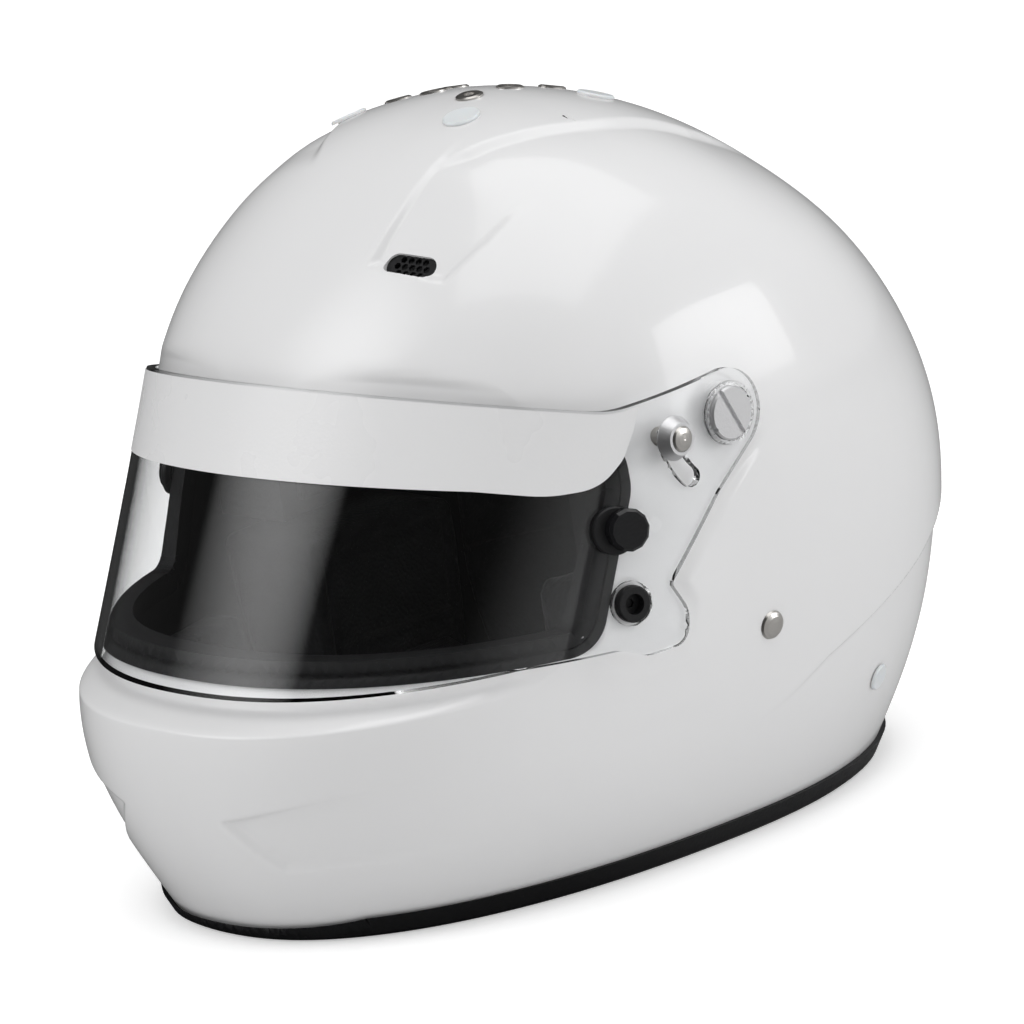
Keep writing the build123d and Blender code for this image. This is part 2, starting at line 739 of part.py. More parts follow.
def strap_path(sign_left):
    # The strap's middle line, in X and Z: down the wall, in through the pad, and hanging
    wall = strap_top_x
    bend = strap_slot_height
    start = [(wall, anchor_height + anchor_length / 3), (wall - strap_bend, bend + strap_bend * 2)]
    turn = [(strap_hang_x + strap_bend * 2, bend - strap_bend), (strap_hang_x, bend - strap_bend * 2)]
    if sign_left:
        return start + turn + [(strap_hang_x, strap_loop_height)]
    pitch = strap_fold_pitch
    return start + turn + [
        (strap_hang_x, strap_fold_low), (strap_hang_x - pitch, strap_fold_low),
        (strap_hang_x - pitch, strap_fold_high), (strap_hang_x - pitch * 2, strap_fold_high),
        (strap_hang_x - pitch * 2, strap_tail_low),
    ]


anchor_wall = inner_form.find_intersection_points(Axis((far_out, anchor_y, anchor_height), (-1, 0, 0)))
anchor_wall_x = max(hit[0].X for hit in anchor_wall)
anchor_low = inner_form.find_intersection_points(
    Axis((far_out, anchor_y, anchor_height - anchor_length / 2), (-1, 0, 0))
)
anchor_x = min(anchor_wall_x, max(hit[0].X for hit in anchor_low)) - strap_wall_gap
strap_top_x = anchor_x - anchor_thickness - strap_wall_gap - strap_thickness / 2


def ribbon(points, thickness, width):
    # A strip of webbing along a path in X and Z, as wide as it is along Y
    radii = [strap_fold_pitch / 2 if abs(a[1] - b[1]) < strap_thickness or abs(b[1] - c[1]) < strap_thickness
             else strap_bend for a, b, c in zip(points, points[1:], points[2:])]
    path = FilletPolyline(*points, radius=radii)
    face = trace(path, thickness)
    return Pos(0, anchor_y, 0) * extrude(Plane.XZ * face, amount=width / 2, both=True)


def make_cheek_pad(sign_left):
    # A soft cheek pad with a hollowed face and a slot that lets the strap through
    points = [(pad_front_y, pad_foot), (pad_back_y, pad_foot), (pad_back_y, pad_top), (pad_front_y, pad_top)]
    pad = prism(drawn(points, [pad_corner] * 4)) & body(shell_wall + liner_gap * 2, "core")
    face = Pos(0, ring_centre_y) * Ellipse(pad_face_x, pad_face_depth)
    pad = pad - extrude(face, amount=far_out, both=True)
    pad = pad.solids().sort_by(Axis.X)[-1]
    gap = pad_slot_gap * 2
    slot = ribbon(strap_path(True), strap_thickness + gap, strap_width + gap)
    high = anchor_length + gap
    room = anchor_wall_x - strap_top_x + strap_thickness
    pocket = Pos(strap_top_x - strap_thickness, anchor_y, anchor_height) * Box(
        room * 2, anchor_width + strap_bend, high + strap_bend, align=(Align.MIN, Align.CENTER, Align.CENTER)
    )
    pad = (pad - [slot, pocket]).solids().sort_by(SortBy.VOLUME)[-1]
    return pad if sign_left else mirror(pad, Plane.YZ)


def make_chin_foam():
    # The foam block behind the chin bar
    points = [(eyeport_front_y, foam_foot), (foam_back_y, foam_foot), (foam_back_y, foam_top),
              (eyeport_front_y, foam_top)]
    gap = shell_wall + liner_gap
    foam = prism(make_face(Polyline(*points, close=True))) & body(gap, "core")
    return foam - body(gap + foam_thickness, "core")


def make_neck_roll():
    # The padded roll at the back of the neck
    points = [(roll_front_y, roll_foot), (far_out, roll_foot), (far_out, roll_top), (roll_front_y, roll_top)]
    gap = shell_wall + liner_gap * 2 + trim_lip
    roll = prism(make_face(Polyline(*points, close=True))) & body(gap, "core")
    return roll - body(gap + roll_thickness, "core")


def make_strap(sign_left):
    # One strap: the left one ends in a loop round its rings, the right one is folded up
    strap = ribbon(strap_path(sign_left), strap_thickness, strap_width)
    if sign_left:
        loop = SlotOverall(strap_loop_width, strap_loop_drop)
        loop = loop - offset(loop, -strap_thickness)
        loop = Pos(strap_hang_x, strap_loop_height - strap_loop_drop / 2 + strap_thickness / 2) * loop
        loop = extrude(Plane.XZ * loop, amount=strap_width / 2, both=True)
        return strap + Pos(0, anchor_y, 0) * loop
    return mirror(strap, Plane.YZ)


def make_anchors():
    # The plates that the rivets hold against the inside of the shell
    plate = Box(anchor_thickness, anchor_width, anchor_length, align=(Align.MAX, Align.CENTER, Align.CENTER))
    plate = plate - Rot(0, 90, 0) * Cylinder(rivet_shank_radius + running_clearance, far_out)
    plate = fillet(plate.edges().filter_by(Axis.X).sort_by(SortBy.LENGTH)[-4:], anchor_thickness * 2)
    return both(Pos(anchor_x, anchor_y, anchor_height) * plate)


def make_rivets():
    # Domed rivets through the shell and the strap anchors
    tail = anchor_x - anchor_thickness - rivet_spot.X - strap_wall_gap / 2
    radius = rivet_radius
    edge = [(radius * math.cos(math.radians(a)), rivet_dome * math.sin(math.radians(a))) for a in (0, 25, 50, 72)]
    head = turned((0, -rivet_dome), (radius, -rivet_dome), *edge, (0, rivet_dome))
    head = stand(rivet_spot, rivet_out, head) - outer_form
    shank = stand(rivet_spot, left, rod(rivet_shank_radius, tail, rivet_dome / 4))
    return both((head + shank).solids().sort_by(SortBy.VOLUME)[-1])


def d_ring(x):
    # A D-shaped ring hanging from the strap's loop: a straight bar along Y and a round bow
    half = ring_inner_width / 2 + ring_wire_radius
    z = strap_loop_height - strap_loop_drop / 2 + strap_thickness / 2
    bow = FilletPolyline(
        (-half, 0), (-half, -ring_drop), (half, -ring_drop), (half, 0), radius=[ring_wire_radius * 4] * 2
    )
    bar = Line((half, 0), (-half, 0))
    wire = Plane.YZ * Wire(bow.edges() + bar.edges())
    section = Plane(origin=wire.position_at(0), z_dir=wire.tangent_at(0)) * Circle(ring_wire_radius)
    ring_solid = sweep(section, path=wire, transition=Transition.RIGHT)
    return Pos(x, anchor_y, z) * ring_solid


def make_snap():
    # The snap that holds the folded end of the right strap
    x = strap_hang_x - strap_fold_pitch * 2 - strap_thickness / 2
    z = strap_tail_low + snap_above_fold
    cap = turned(
        (0, snap_height), (snap_radius - snap_height / 2, snap_height), (snap_radius, snap_height / 2),
        (snap_radius, 0), (0, 0),
    )
    return mirror(stand(Vector(x, anchor_y, z), -left, cap), Plane.YZ)


def make_brow_vent():
    # The pierced screen that sits down inside the brow vent, on the wearer's left
    plate = extrude(SlotOverall(vent_half_length * 2, vent_half_height * 2), amount=-vent_mesh_thickness)
    straight = vent_half_length - vent_half_height
    holes = []
    for row in range(-2, 3):
        for column in range(-3, 4):
            x = (column + row % 2 / 2) * vent_hole_pitch
            y = row * vent_hole_pitch * math.sqrt(3) / 2
            if math.hypot(max(abs(x) - straight, 0), y) < vent_half_height - vent_hole_radius:
                hole = extrude(RegularPolygon(vent_hole_radius, 6), amount=vent_mesh_thickness * 2, both=True)
                holes.append(Pos(x, y) * hole)
    plate = Pos(0, 0, -vent_mesh_depth) * (plate - holes)
    return stand(vent_spot, vent_out, Rot(0, 0, vent_turn) * plate)


def make_eyelets():
    # Steel eyelets through the crown
    eyelet = turned(
        (eyelet_bore, eyelet_height), (eyelet_radius - eyelet_height, eyelet_height), (eyelet_radius, eyelet_height / 2),
        (eyelet_radius, -eyelet_height), (eyelet_tube_radius, -eyelet_height),
        (eyelet_tube_radius, -eyelet_tube_length), (eyelet_bore, -eyelet_tube_length),
    )
    pieces = []
    for point, out in eyelet_places:
        seated = stand(point, out, eyelet)
        flange = seated & stand(point, out, rod(eyelet_radius * 2, -eyelet_height, eyelet_radius)) - outer_form
        tube = seated & stand(point, out, rod(eyelet_tube_radius, -eyelet_tube_length, eyelet_height))
        pieces.append((flange + tube).solids().sort_by(SortBy.VOLUME)[-1])
    return Compound(pieces)


def make_crown_plugs():
    # White plugs in the crown's spare holes
    radius, high = crown_plug_radius, crown_plug_height
    head = turned((0, -high), (radius, -high), (radius, high / 2), (radius - high / 2, high), (0, high))
    pieces = []
    for point, out in crown_plug_places:
        cap = stand(point, out, head) - outer_form
        stem = stand(point, out, rod(crown_plug_stem, -crown_plug_length, 0))
        pieces.append((cap + stem).solids().sort_by(SortBy.VOLUME)[-1])
    return Compound(pieces)


def make_rear_plugs():
    # White plugs at the lower back of each side
    radius, high = rear_plug_radius, rear_plug_dome
    head = turned((0, -high), (radius, -high), (radius, high / 2), (radius - high / 2, high), (0, high))
    head = stand(rear_spot, rear_out, head) - outer_form
    stem = stand(rear_spot, rear_out, rod(rear_plug_stem, -rear_plug_length, 0))
    return both((head + stem).solids().sort_by(SortBy.VOLUME)[-1])


shell = make_shell()
seat_form = outer_form - (prism(recess_face) - recess_floor)
ring_x = strap_hang_x
parts = {
    "shell": shell,
    "base_trim": make_base_trim(shell),
    "eyeport_gasket": make_gasket(shell),
    "visor": make_visor(),
    "sun_strip": make_sun_strip(),
    "pivot_screws": make_pivot_screws(),
    "pivot_nuts": make_pivot_nuts(),
    "stop_studs": make_stop_studs(),
    "friction_nuts": make_friction_nuts(),
    "lock_posts": make_lock_posts(),
    "lock_screws": make_lock_screws(),
    "tearoff_bases": make_tearoff_bases(),
    "tearoff_knob_left": make_knob(1),
    "tearoff_knob_right": make_knob(-1),
    "tearoff_nuts": make_tearoff_nuts(),
    "eps_liner": make_eps_liner(),
    "comfort_liner": make_comfort_liner(),
    "cheek_pad_left": make_cheek_pad(True),
    "cheek_pad_right": make_cheek_pad(False),
    "chin_foam": make_chin_foam(),
    "neck_roll": make_neck_roll(),
    "chin_strap_left": make_strap(True),
    "chin_strap_right": make_strap(False),
    "strap_anchors": make_anchors(),
    "strap_rivets": make_rivets(),
    "d_ring_outer": d_ring(ring_x + ring_pitch / 2),
    "d_ring_inner": d_ring(ring_x - ring_pitch / 2),
    "strap_snap": make_snap(),
    "brow_vent": make_brow_vent(),
    "crown_eyelets": make_eyelets(),
    "crown_plugs": make_crown_plugs(),
    "rear_plugs": make_rear_plugs(),
}

os.makedirs("parts", exist_ok=True)
for name, shape in parts.items():
    export_step(shape, f"parts/{name}.step")
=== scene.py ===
import math

import bmesh
import bpy
import numpy as np
from mathutils import Matrix, Vector


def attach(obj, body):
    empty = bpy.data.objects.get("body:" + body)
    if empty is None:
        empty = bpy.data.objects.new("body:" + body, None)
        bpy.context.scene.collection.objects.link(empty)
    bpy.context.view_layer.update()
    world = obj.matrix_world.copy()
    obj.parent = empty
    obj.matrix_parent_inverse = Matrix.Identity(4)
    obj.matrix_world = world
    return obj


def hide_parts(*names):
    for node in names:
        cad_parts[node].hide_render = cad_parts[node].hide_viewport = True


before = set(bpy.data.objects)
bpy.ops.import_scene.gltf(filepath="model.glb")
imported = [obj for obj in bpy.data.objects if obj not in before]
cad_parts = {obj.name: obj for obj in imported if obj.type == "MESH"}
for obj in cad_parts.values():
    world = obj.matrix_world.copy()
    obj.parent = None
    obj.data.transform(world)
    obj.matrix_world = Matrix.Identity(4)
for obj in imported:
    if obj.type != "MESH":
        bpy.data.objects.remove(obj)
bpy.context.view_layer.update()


# Studio: a long lens, level with the visor and a little above it, sees the helmet's
# left front. A pale floor, a white surround and three large soft lamps light it.
target = Vector((0.0, 0.009, 0.133))
azimuth, elevation, roll = math.radians(49.661), math.radians(12.753), math.radians(-7.652)
distance = 2.113
aim_left, aim_down = 0.00228, 0.02233
level_share = math.cos(elevation)
back = Vector((math.sin(azimuth) * level_share, -math.cos(azimuth) * level_share, math.sin(elevation)))
level = Vector((math.cos(azimuth), math.sin(azimuth), 0))
upward = back.cross(level)
right = level * math.cos(roll) + upward * math.sin(roll)
upward = upward * math.cos(roll) - level * math.sin(roll)
lens = bpy.data.cameras.new("long_lens")
lens.lens = 206.3
lens.clip_end = 50
camera = bpy.data.objects.new("camera", lens)
bpy.context.scene.collection.objects.link(camera)
camera.location = target + back * distance
aim = target - right * aim_left - upward * aim_down
forward = (aim - camera.location).normalized()
beside = forward.cross(upward).normalized()
turn = Matrix((beside, beside.cross(forward), -forward)).transposed()
camera.rotation_euler = turn.to_euler()
bpy.context.scene.camera = camera
bpy.context.scene.view_settings.view_transform = "Standard"


def deselect():
    if bpy.context.object and bpy.context.object.mode != "OBJECT":
        bpy.ops.object.mode_set(mode="OBJECT")
    bpy.ops.object.select_all(action="DESELECT")


def pick(piece):
    # Selects one piece alone
    deselect()
    piece.select_set(True)
    bpy.context.view_layer.objects.active = piece


def soft_lamp(name, place, size, power):
    # A large lamp that points at the helmet's middle
    deselect()
    bpy.ops.object.light_add(type="AREA", location=place)
    lamp = bpy.context.object
    lamp.name = name
    lamp.data.shape = "RECTANGLE"
    lamp.data.size, lamp.data.size_y = size
    lamp.data.energy = power
    lamp.rotation_euler = (Vector(place) - Vector(heart)).to_track_quat("Z", "Y").to_euler()
    return lamp


def linked(tree, kind, inputs, **settings):
    # A node whose sockets are set to values or joined to other nodes' outputs
    node = tree.nodes.new(kind)
    for name, value in settings.items():
        setattr(node, name, value)
    for socket, value in inputs.items():
        if isinstance(value, bpy.types.NodeSocket):
            tree.links.new(value, node.inputs[socket])
        else:
            node.inputs[socket].default_value = value
    return node


def maths(tree, operation, *values):
    inputs = dict(enumerate(values))
    return linked(tree, "ShaderNodeMath", inputs, operation=operation).outputs[0]


def ramp(tree, value, start, end, low, high):
    # A smooth step from low to high while a value goes from start to end
    span = {"Value": value, "From Min": start, "From Max": end, "To Min": low, "To Max": high}
    return linked(tree, "ShaderNodeMapRange", span, interpolation_type="SMOOTHSTEP").outputs["Result"]


def feathered(lamp):
    # Fades a lamp's panel towards its edges, as a softbox does
    brightest = 6.0
    lamp.data.use_nodes = True
    tree = lamp.data.node_tree
    tree.nodes.clear()
    panel = tree.nodes.new("ShaderNodeNewGeometry").outputs["Parametric"]
    across = linked(tree, "ShaderNodeSeparateXYZ", {"Vector": panel})
    fade = 1.0
    for axis in "XY":
        place = across.outputs[axis]
        hill = maths(tree, "MULTIPLY", place, maths(tree, "SUBTRACT", 1.0, place))
        fade = maths(tree, "MULTIPLY", maths(tree, "MULTIPLY", hill, brightest), fade)
    light = linked(tree, "ShaderNodeEmission", {"Strength": fade})
    linked(tree, "ShaderNodeOutputLight", {"Surface": light.outputs[0]})


heart = (0, 0, 0.14)
feathered(soft_lamp("lamp_front", place=(-1.2, -1.68, 1.6), size=(2.0, 2.1), power=13))
soft_lamp("lamp_above", place=(0.3, 0.2, 2.4), size=(2.4, 2.4), power=24)
soft_lamp("lamp_side", place=(2.2, 1.75, 0.8), size=(1.6, 1.0), power=14)


def mirrored_light(tree, direction, dark, light):
    # What shiny pieces see round them: a dark room, pale behind the helmet's left shoulder
    pale_side, dark_until, pale_from = (0.77, 0.64, 0), 0.1, 0.8
    facing = linked(tree, "ShaderNodeVectorMath", {0: direction, 1: pale_side}, operation="DOT_PRODUCT")
    return ramp(tree, facing.outputs["Value"], dark_until, pale_from, dark, light)


def blended(tree, share, low, high):
    # The low value where a share is 0, and the high one where it is 1
    return maths(tree, "MULTIPLY_ADD", share, maths(tree, "SUBTRACT", high, low), low)


def kinds_of_look(tree):
    # Whether a ray was mirrored before, and whether the camera looks, straight or through glass
    paths = tree.nodes.new("ShaderNodeLightPath")
    mirrored = maths(tree, "GREATER_THAN", paths.outputs["Glossy Depth"], 0.5)
    unmirrored = maths(tree, "SUBTRACT", 1.0, mirrored)
    through = maths(tree, "MULTIPLY", paths.outputs["Is Transmission Ray"], unmirrored)
    return mirrored, maths(tree, "MAXIMUM", paths.outputs["Is Camera Ray"], through)


room_light, room_dark, room_pale = 0.5, 0.04, 0.55
surround = bpy.data.worlds.new("white_surround")
bpy.context.scene.world = surround
surround.use_nodes = True
tree = surround.node_tree
tree.nodes.clear()
looked = tree.nodes.new("ShaderNodeTexCoord")
mirrored, seen = kinds_of_look(tree)
dim = mirrored_light(tree, looked.outputs["Generated"], room_dark, room_pale)
strength = blended(tree, seen, blended(tree, mirrored, room_light, dim), 1.0)
sky = linked(tree, "ShaderNodeBackground", {"Color": (1, 1, 1, 1), "Strength": strength})
linked(tree, "ShaderNodeOutputWorld", {"Surface": sky.outputs[0]})

floor_size, floor_drop = 30, 0.0002
paper_tone, paper_dark, paper_pale = 0.85, 0.08, 0.65
glow_near, glow_far, glow_start, glow_end = 0.42, 0.8, 0.8, 3.0
deselect()
bpy.ops.mesh.primitive_plane_add(size=floor_size, location=(0, 0, -floor_drop))
floor = bpy.context.object
floor.name = "studio_floor"
paper = bpy.data.materials.new("studio_paper")
paper.use_nodes = True
tree = paper.node_tree
tree.nodes.clear()
spot = tree.nodes.new("ShaderNodeTexCoord").outputs["Object"]
reach = linked(tree, "ShaderNodeVectorMath", {0: spot}, operation="LENGTH").outputs["Value"]
heading = linked(tree, "ShaderNodeVectorMath", {0: spot}, operation="NORMALIZE").outputs["Vector"]
mirrored, seen = kinds_of_look(tree)
dim = mirrored_light(tree, heading, paper_dark, paper_pale)
matt = linked(tree, "ShaderNodeBsdfDiffuse", {"Color": blended(tree, mirrored, paper_tone, dim)})
paler = ramp(tree, reach, glow_start, glow_end, glow_near, glow_far)
glow = linked(tree, "ShaderNodeEmission", {"Strength": maths(tree, "MULTIPLY", seen, paler)})
total = linked(tree, "ShaderNodeAddShader", {0: matt.outputs[0], 1: glow.outputs[0]})
linked(tree, "ShaderNodeOutputMaterial", {"Surface": total.outputs[0]})
floor.data.materials.append(paper)


# Shell: a moulded composite skin sprayed with gloss white gel-coat, 5.5 mm thick.
# The visor lies in a soft-edged recess, and low creases run over the crown, round
# the rear and across the chin. A grid is bent to the form, finer along each edge.
mm = 0.001
dome, ring_y, rim_z, wall = 262.0, 9.0, 3.0, 5.5
side_reach, rear_reach, front_reach = 126.5, 162.0, 180.0
level_shares = np.array((0, .092, .191, .29, .382, .473, .565, .656, .748, .832, .901, .95, .981, .996, 1))
front_shares = (.903, .962, 1.0, .989, .916, .827, .738, .658, .578, .476, .366, .264, .159, .064, 0)
core_shares = (.903, .96, .978, .934, .853, .79, .722, .652, .578, .476, .366, .264, .159, .064, 0)
rear_shares = (.773, .859, .928, .973, 1.0, .996, .954, .877, .759, .609, .46, .321, .19, .074, 0)
side_shares = (.742, .832, .911, .963, .991, 1.0, .987, .955, .898, .794, .656, .506, .318, .134, 0)
front_powers = np.array((2.3, 2.37, 2.44) + (2.45,) * 12)
rear_power = 2.2


def profile(reach, shares, inset=0.0):
    # A smooth line from the rim to the crown through a profile's points, moved inwards
    points = np.stack([np.array(shares) * reach, level_shares * dome], 1)
    gaps = np.hypot(*np.diff(points, axis=0).T)
    last = len(points) - 1
    rows, wanted = np.zeros((last + 1, last + 1)), np.zeros((last + 1, 2))
    rows[0, 0] = rows[last, last] = 1
    wanted[0], wanted[last] = (points[1] - points[0]) / gaps[0], (-1, 0)
    for i in range(1, last):
        a, b = 1 / gaps[i - 1], 1 / gaps[i]
        rows[i, i - 1:i + 2] = a, 2 * (a + b), b
        wanted[i] = 3 * ((points[i] - points[i - 1]) * a * a + (points[i + 1] - points[i]) * b * b)
    slopes = np.linalg.solve(rows, wanted)
    starts = np.concatenate([[0], np.cumsum(gaps)])
    along = np.linspace(0, starts[-1], 2000)
    i = np.clip(np.searchsorted(starts, along) - 1, 0, last - 1)
    t, k = ((along - starts[i]) / gaps[i])[:, None], gaps[i][:, None]
    line = (2 * t ** 3 - 3 * t * t + 1) * points[i] + (t ** 3 - 2 * t * t + t) * k * slopes[i]
    line += (3 * t * t - 2 * t ** 3) * points[i + 1] + (t ** 3 - t * t) * k * slopes[i + 1]
    lean = np.gradient(line, axis=0)
    lean /= np.hypot(*lean.T)[:, None]
    return np.maximum(line + inset * np.stack([-lean[:, 1], lean[:, 0]], 1), (0, -99))


def skin(turn, rise, inset, front):
    # Places on the helmet's form: turn 0 to 1 runs round from the wearer's left, rise up
    side_line, rear_line = profile(side_reach, side_shares, inset), profile(rear_reach, rear_shares, inset)
    front_line = profile(front_reach, front, inset)
    steps = np.concatenate([[0], np.cumsum(np.hypot(*np.diff(side_line, axis=0).T))])
    z = np.interp(rise * steps[-1], steps, side_line[:, 1])
    z = np.where(rise <= 0, 0, z)
    c, s = np.cos(turn * 2 * np.pi), np.sin(turn * 2 * np.pi)
    power = np.where(s >= 0, rear_power, np.interp(z, level_shares * dome, front_powers))
    spread = (np.abs(c) ** power + np.abs(s) ** power) ** (-1 / power)
    ahead, behind = (np.interp(z, line[:, 1], line[:, 0]) for line in (front_line, rear_line))
    x = np.interp(z, side_line[:, 1], side_line[:, 0]) * spread * c
    return np.stack([x, ring_y + np.where(s >= 0, behind, ahead) * spread * s, rim_z + z], 1)


def ease(low, high, value):
    # 0 below low, 1 above high, and a smooth step between
    t = np.clip((value - low) / (high - low), 0, 1)
    return t * t * (3 - 2 * t)


def within(outline, a, b):
    # How far places lie inside an outline, negative outside
    nearest, inside = np.full(len(a), 1e9), np.zeros(len(a), bool)
    for (p, q), (r, s) in zip(outline, outline[1:] + outline[:1]):
        length = (r - p) ** 2 + (s - q) ** 2
        t = np.clip(((a - p) * (r - p) + (b - q) * (s - q)) / length, 0, 1)
        nearest = np.minimum(nearest, np.hypot(a - p - t * (r - p), b - q - t * (s - q)))
        if q != s:
            inside ^= ((q > b) != (s > b)) & (a < p + (b - q) * (r - p) / (s - q))
    return np.where(inside, nearest, -nearest)


pivot_y, pivot_z, ear_reach = -5.0, 160.5, 15.3


def on_ear(angle):
    # A point on the round end of the visor, about its pivot
    ahead, over = math.cos(math.radians(angle)), math.sin(math.radians(angle))
    return (pivot_y + ear_reach * ahead, pivot_z + ear_reach * over)


visor_outline = [
    on_ear(-52), (-13.4, 134.6), (-38.6, 108.5), (-33, 98.3), (-35, 86.9), (-52, 86.5), (-62, 90.8),
    (-96.2, 91.7), (-200, 85.5), (-200, 211), (-50, 170.7), on_ear(96.6),
]
eyeport_outline = [(-200, 97.5), (-71.5, 97.5), (-52, 144.5), (-52, 157.5), (-200, 189.2)]
eyeport_foot, eyeport_top = 60, 203

# The visor's form, which the recess follows: its reach and squareness at two heights
visor_low, visor_high, visor_half, visor_back = 93, 181, 128.5, -12
visor_reaches, visor_powers = (143, 100), (2.25, 1.965)
visor_thick, visor_slant, side_gap, front_gap = 3.0, 1.115, 0.5, 2.25
recess_step, recess_back, recess_top = (-9.0, -3.6), 31, 215
recess_middle, recess_spare, recess_rear, recess_over = 6.2, 2.6, 25, 188
seat_depth, seat_width, seat_step = 0.8, 6, (0.4, 1.6)

# The low creases: where each runs, how high or deep it is, and how far it fades
crease_y = (-13, 7, 22, 40, 68, 100, 122, 150, 172)
crease_z = (43, 45.8, 51, 60, 68.6, 78.3, 86, 96, 104)
crease_rise, crease_step, crease_fade, crease_start = 2.4, 1.1, 26, (0, 100)
ridge_y = (-45, -29, -13, 1, 12, 24, 56, 90)
ridge_x = (28, 40.6, 49.1, 54.2, 57.4, 59.4, 60.5, 54)
ridge_rise, ridge_step, ridge_fade, ridge_foot, ridge_over = 2.1, 3, 24, 200, 205
ridge_start, ridge_end = (-44, -28), (60, 95)
scoop_outline = [(30, -74.6), (49, -73), (58, -71.2), (64.5, -69), (71, -52), (75, -30), (60, 0), (31, 0)]
scoop_depth, scoop_step, scoop_end, scoop_foot, scoop_rear = 2.2, 4, (-66, -22), 190, -20
dent_outline = [(25, 48.7), (46, 53.4), (61, 56.7), (100, 64), (110, 30), (64.5, 29.2), (42.5, 28.1)]
dent_depth, dent_step, dent_end, dent_back = 1.7, 3.4, (45, 98), -90
dent_middle, dent_wide = 2, 90
lobe_rise, lobe_gap, lobe_fade, lobe_foot = 1.7, 7, 13, 60
lobe_start, lobe_end, lobe_top = (-76, -60), (-22, -8), (104, 122)
form_core = np.array((0, ring_y, 120))

vent_spot, vent_out = Vector((47, -69, 222.826)), Vector((0.21789, -0.66995, 0.70971)).normalized()
vent_lean, vent_half, vent_radius, vent_depth, vent_foot = -9, 6.1, 4.4, 3.0, 190
vent_round, vent_over = 13, 6


def slot_axes():
    # The directions along the brow vent's slot and up across it
    across = Vector((0, 0, 1)).cross(vent_out).normalized()
    up = vent_out.cross(across)
    lean = math.radians(vent_lean)
    return across * math.cos(lean) + up * math.sin(lean), up * math.cos(lean) - across * math.sin(lean)


def vent_places(points):
    # Places round the brow vent: along its slot, and up across it
    along, over = slot_axes()
    apart = points - np.array(vent_spot)
    return apart @ np.array(along), apart @ np.array(over)


def edge_gaps(points):
    # How far places lie from each moulded edge of the shell
    x, y, z = np.abs(points[:, 0]), points[:, 1], points[:, 2]
    recess = np.maximum(within(visor_outline, y, z), ear_reach - np.hypot(y - pivot_y, z - pivot_z))
    crease = z - np.interp(y, crease_y, crease_z)
    ridge = np.interp(y, ridge_y, ridge_x) - x
    scoop = np.where(z > scoop_foot, within(scoop_outline, points[:, 0], y), -99)
    dent = np.where(y < dent_back, within(dent_outline, x, z), -99)
    return recess, crease, ridge, scoop, dent


def visor_form(z):
    # How far forward the visor's outside reaches at a height, and how square it is there
    share = (z - visor_low) / (visor_high - visor_low)
    reach, power = (low + share * (high - low) for low, high in (visor_reaches, visor_powers))
    return reach, power


def moulded(points):
    # The shell's outside, with its creases, its recess and the gasket's seat in that
    recess, crease, ridge, scoop, dent = edge_gaps(points)
    x, y, z = points.T
    step = ease(-crease_step, crease_step, crease) - 0.5
    rise = crease_rise * ease(*crease_start, y) * step * np.exp(-np.abs(crease) / crease_fade)
    over = np.where(z > ridge_foot, ease(*ridge_start, y) * (1 - ease(*ridge_end, y)), 0)
    step = ease(-ridge_step, ridge_step, ridge) - 1
    rise += ridge_rise * over * step * np.exp(-np.abs(ridge) / ridge_fade)
    rise -= scoop_depth * ease(0, scoop_step, scoop) * (1 - ease(*scoop_end, y))
    rise -= dent_depth * ease(0, dent_step, dent) * (1 - ease(*dent_end, np.abs(x)))
    lobe = ease(*lobe_start, y) * (1 - ease(*lobe_end, y)) * (1 - ease(*lobe_top, z)) * (z > lobe_foot)
    rise += lobe_rise * lobe * np.exp(-np.maximum(-recess - lobe_gap, 0) / lobe_fade)
    out = points - form_core
    points = points + out / np.linalg.norm(out, axis=1)[:, None] * rise[:, None]
    x, y, z = points.T
    reach, power = visor_form(z)
    seat = within(eyeport_outline, y, z) + seat_width
    for inset, step, gap in ((0, recess_step, recess), (seat_depth, seat_step, seat)):
        length = reach - visor_thick * visor_slant - front_gap - inset
        width = visor_half - visor_thick - side_gap - inset
        ahead = np.maximum(visor_back - y, 0)
        round_by = (np.abs(x / width) ** power + np.maximum(ahead / length, 0) ** power) ** (1 / power)
        here = (round_by > 1) & (y < recess_back) & (z > eyeport_foot) & (z < recess_top)
        cut = np.where(here, 1 / np.maximum(round_by, 1), 1)
        drawn = np.where(y < visor_back, visor_back + (y - visor_back) * cut, y)
        points = points + (np.stack([x * cut, drawn, z], 1) - points) * ease(*step, gap)[:, None]
        x, y, z = points.T
    return points


def fine_here(places, reach):
    # Where the shell's grid is cut finer: by each moulded edge, and round the brow vent
    x, y, z = np.abs(places[:, 0]), places[:, 1], places[:, 2]
    recess, crease, ridge, scoop, dent = edge_gaps(places)
    fine = (np.abs(recess + recess_middle) < reach + recess_spare) & (y < recess_rear) & (z < recess_over)
    if reach > 1.5:
        on_ridge = (z > ridge_over) & (y > ridge_y[0]) & (y < ridge_end[1])
        fine |= (np.abs(crease) < reach) & (y > 0)
        fine |= (np.abs(ridge) < reach + 1) & on_ridge
        fine |= (np.abs(scoop - scoop_step / 2) < reach) & (y < scoop_rear)
        fine |= (np.abs(dent - dent_middle) < reach) & (x < dent_wide)
        fine |= np.abs(within(eyeport_outline, y, z) + seat_width / 2) < reach + 2
    slot_x, slot_y = vent_places(places)
    by_vent = (np.abs(slot_x) < vent_round + reach) & (np.abs(slot_y) < vent_over + reach)
    return fine | by_vent & (z > vent_foot)


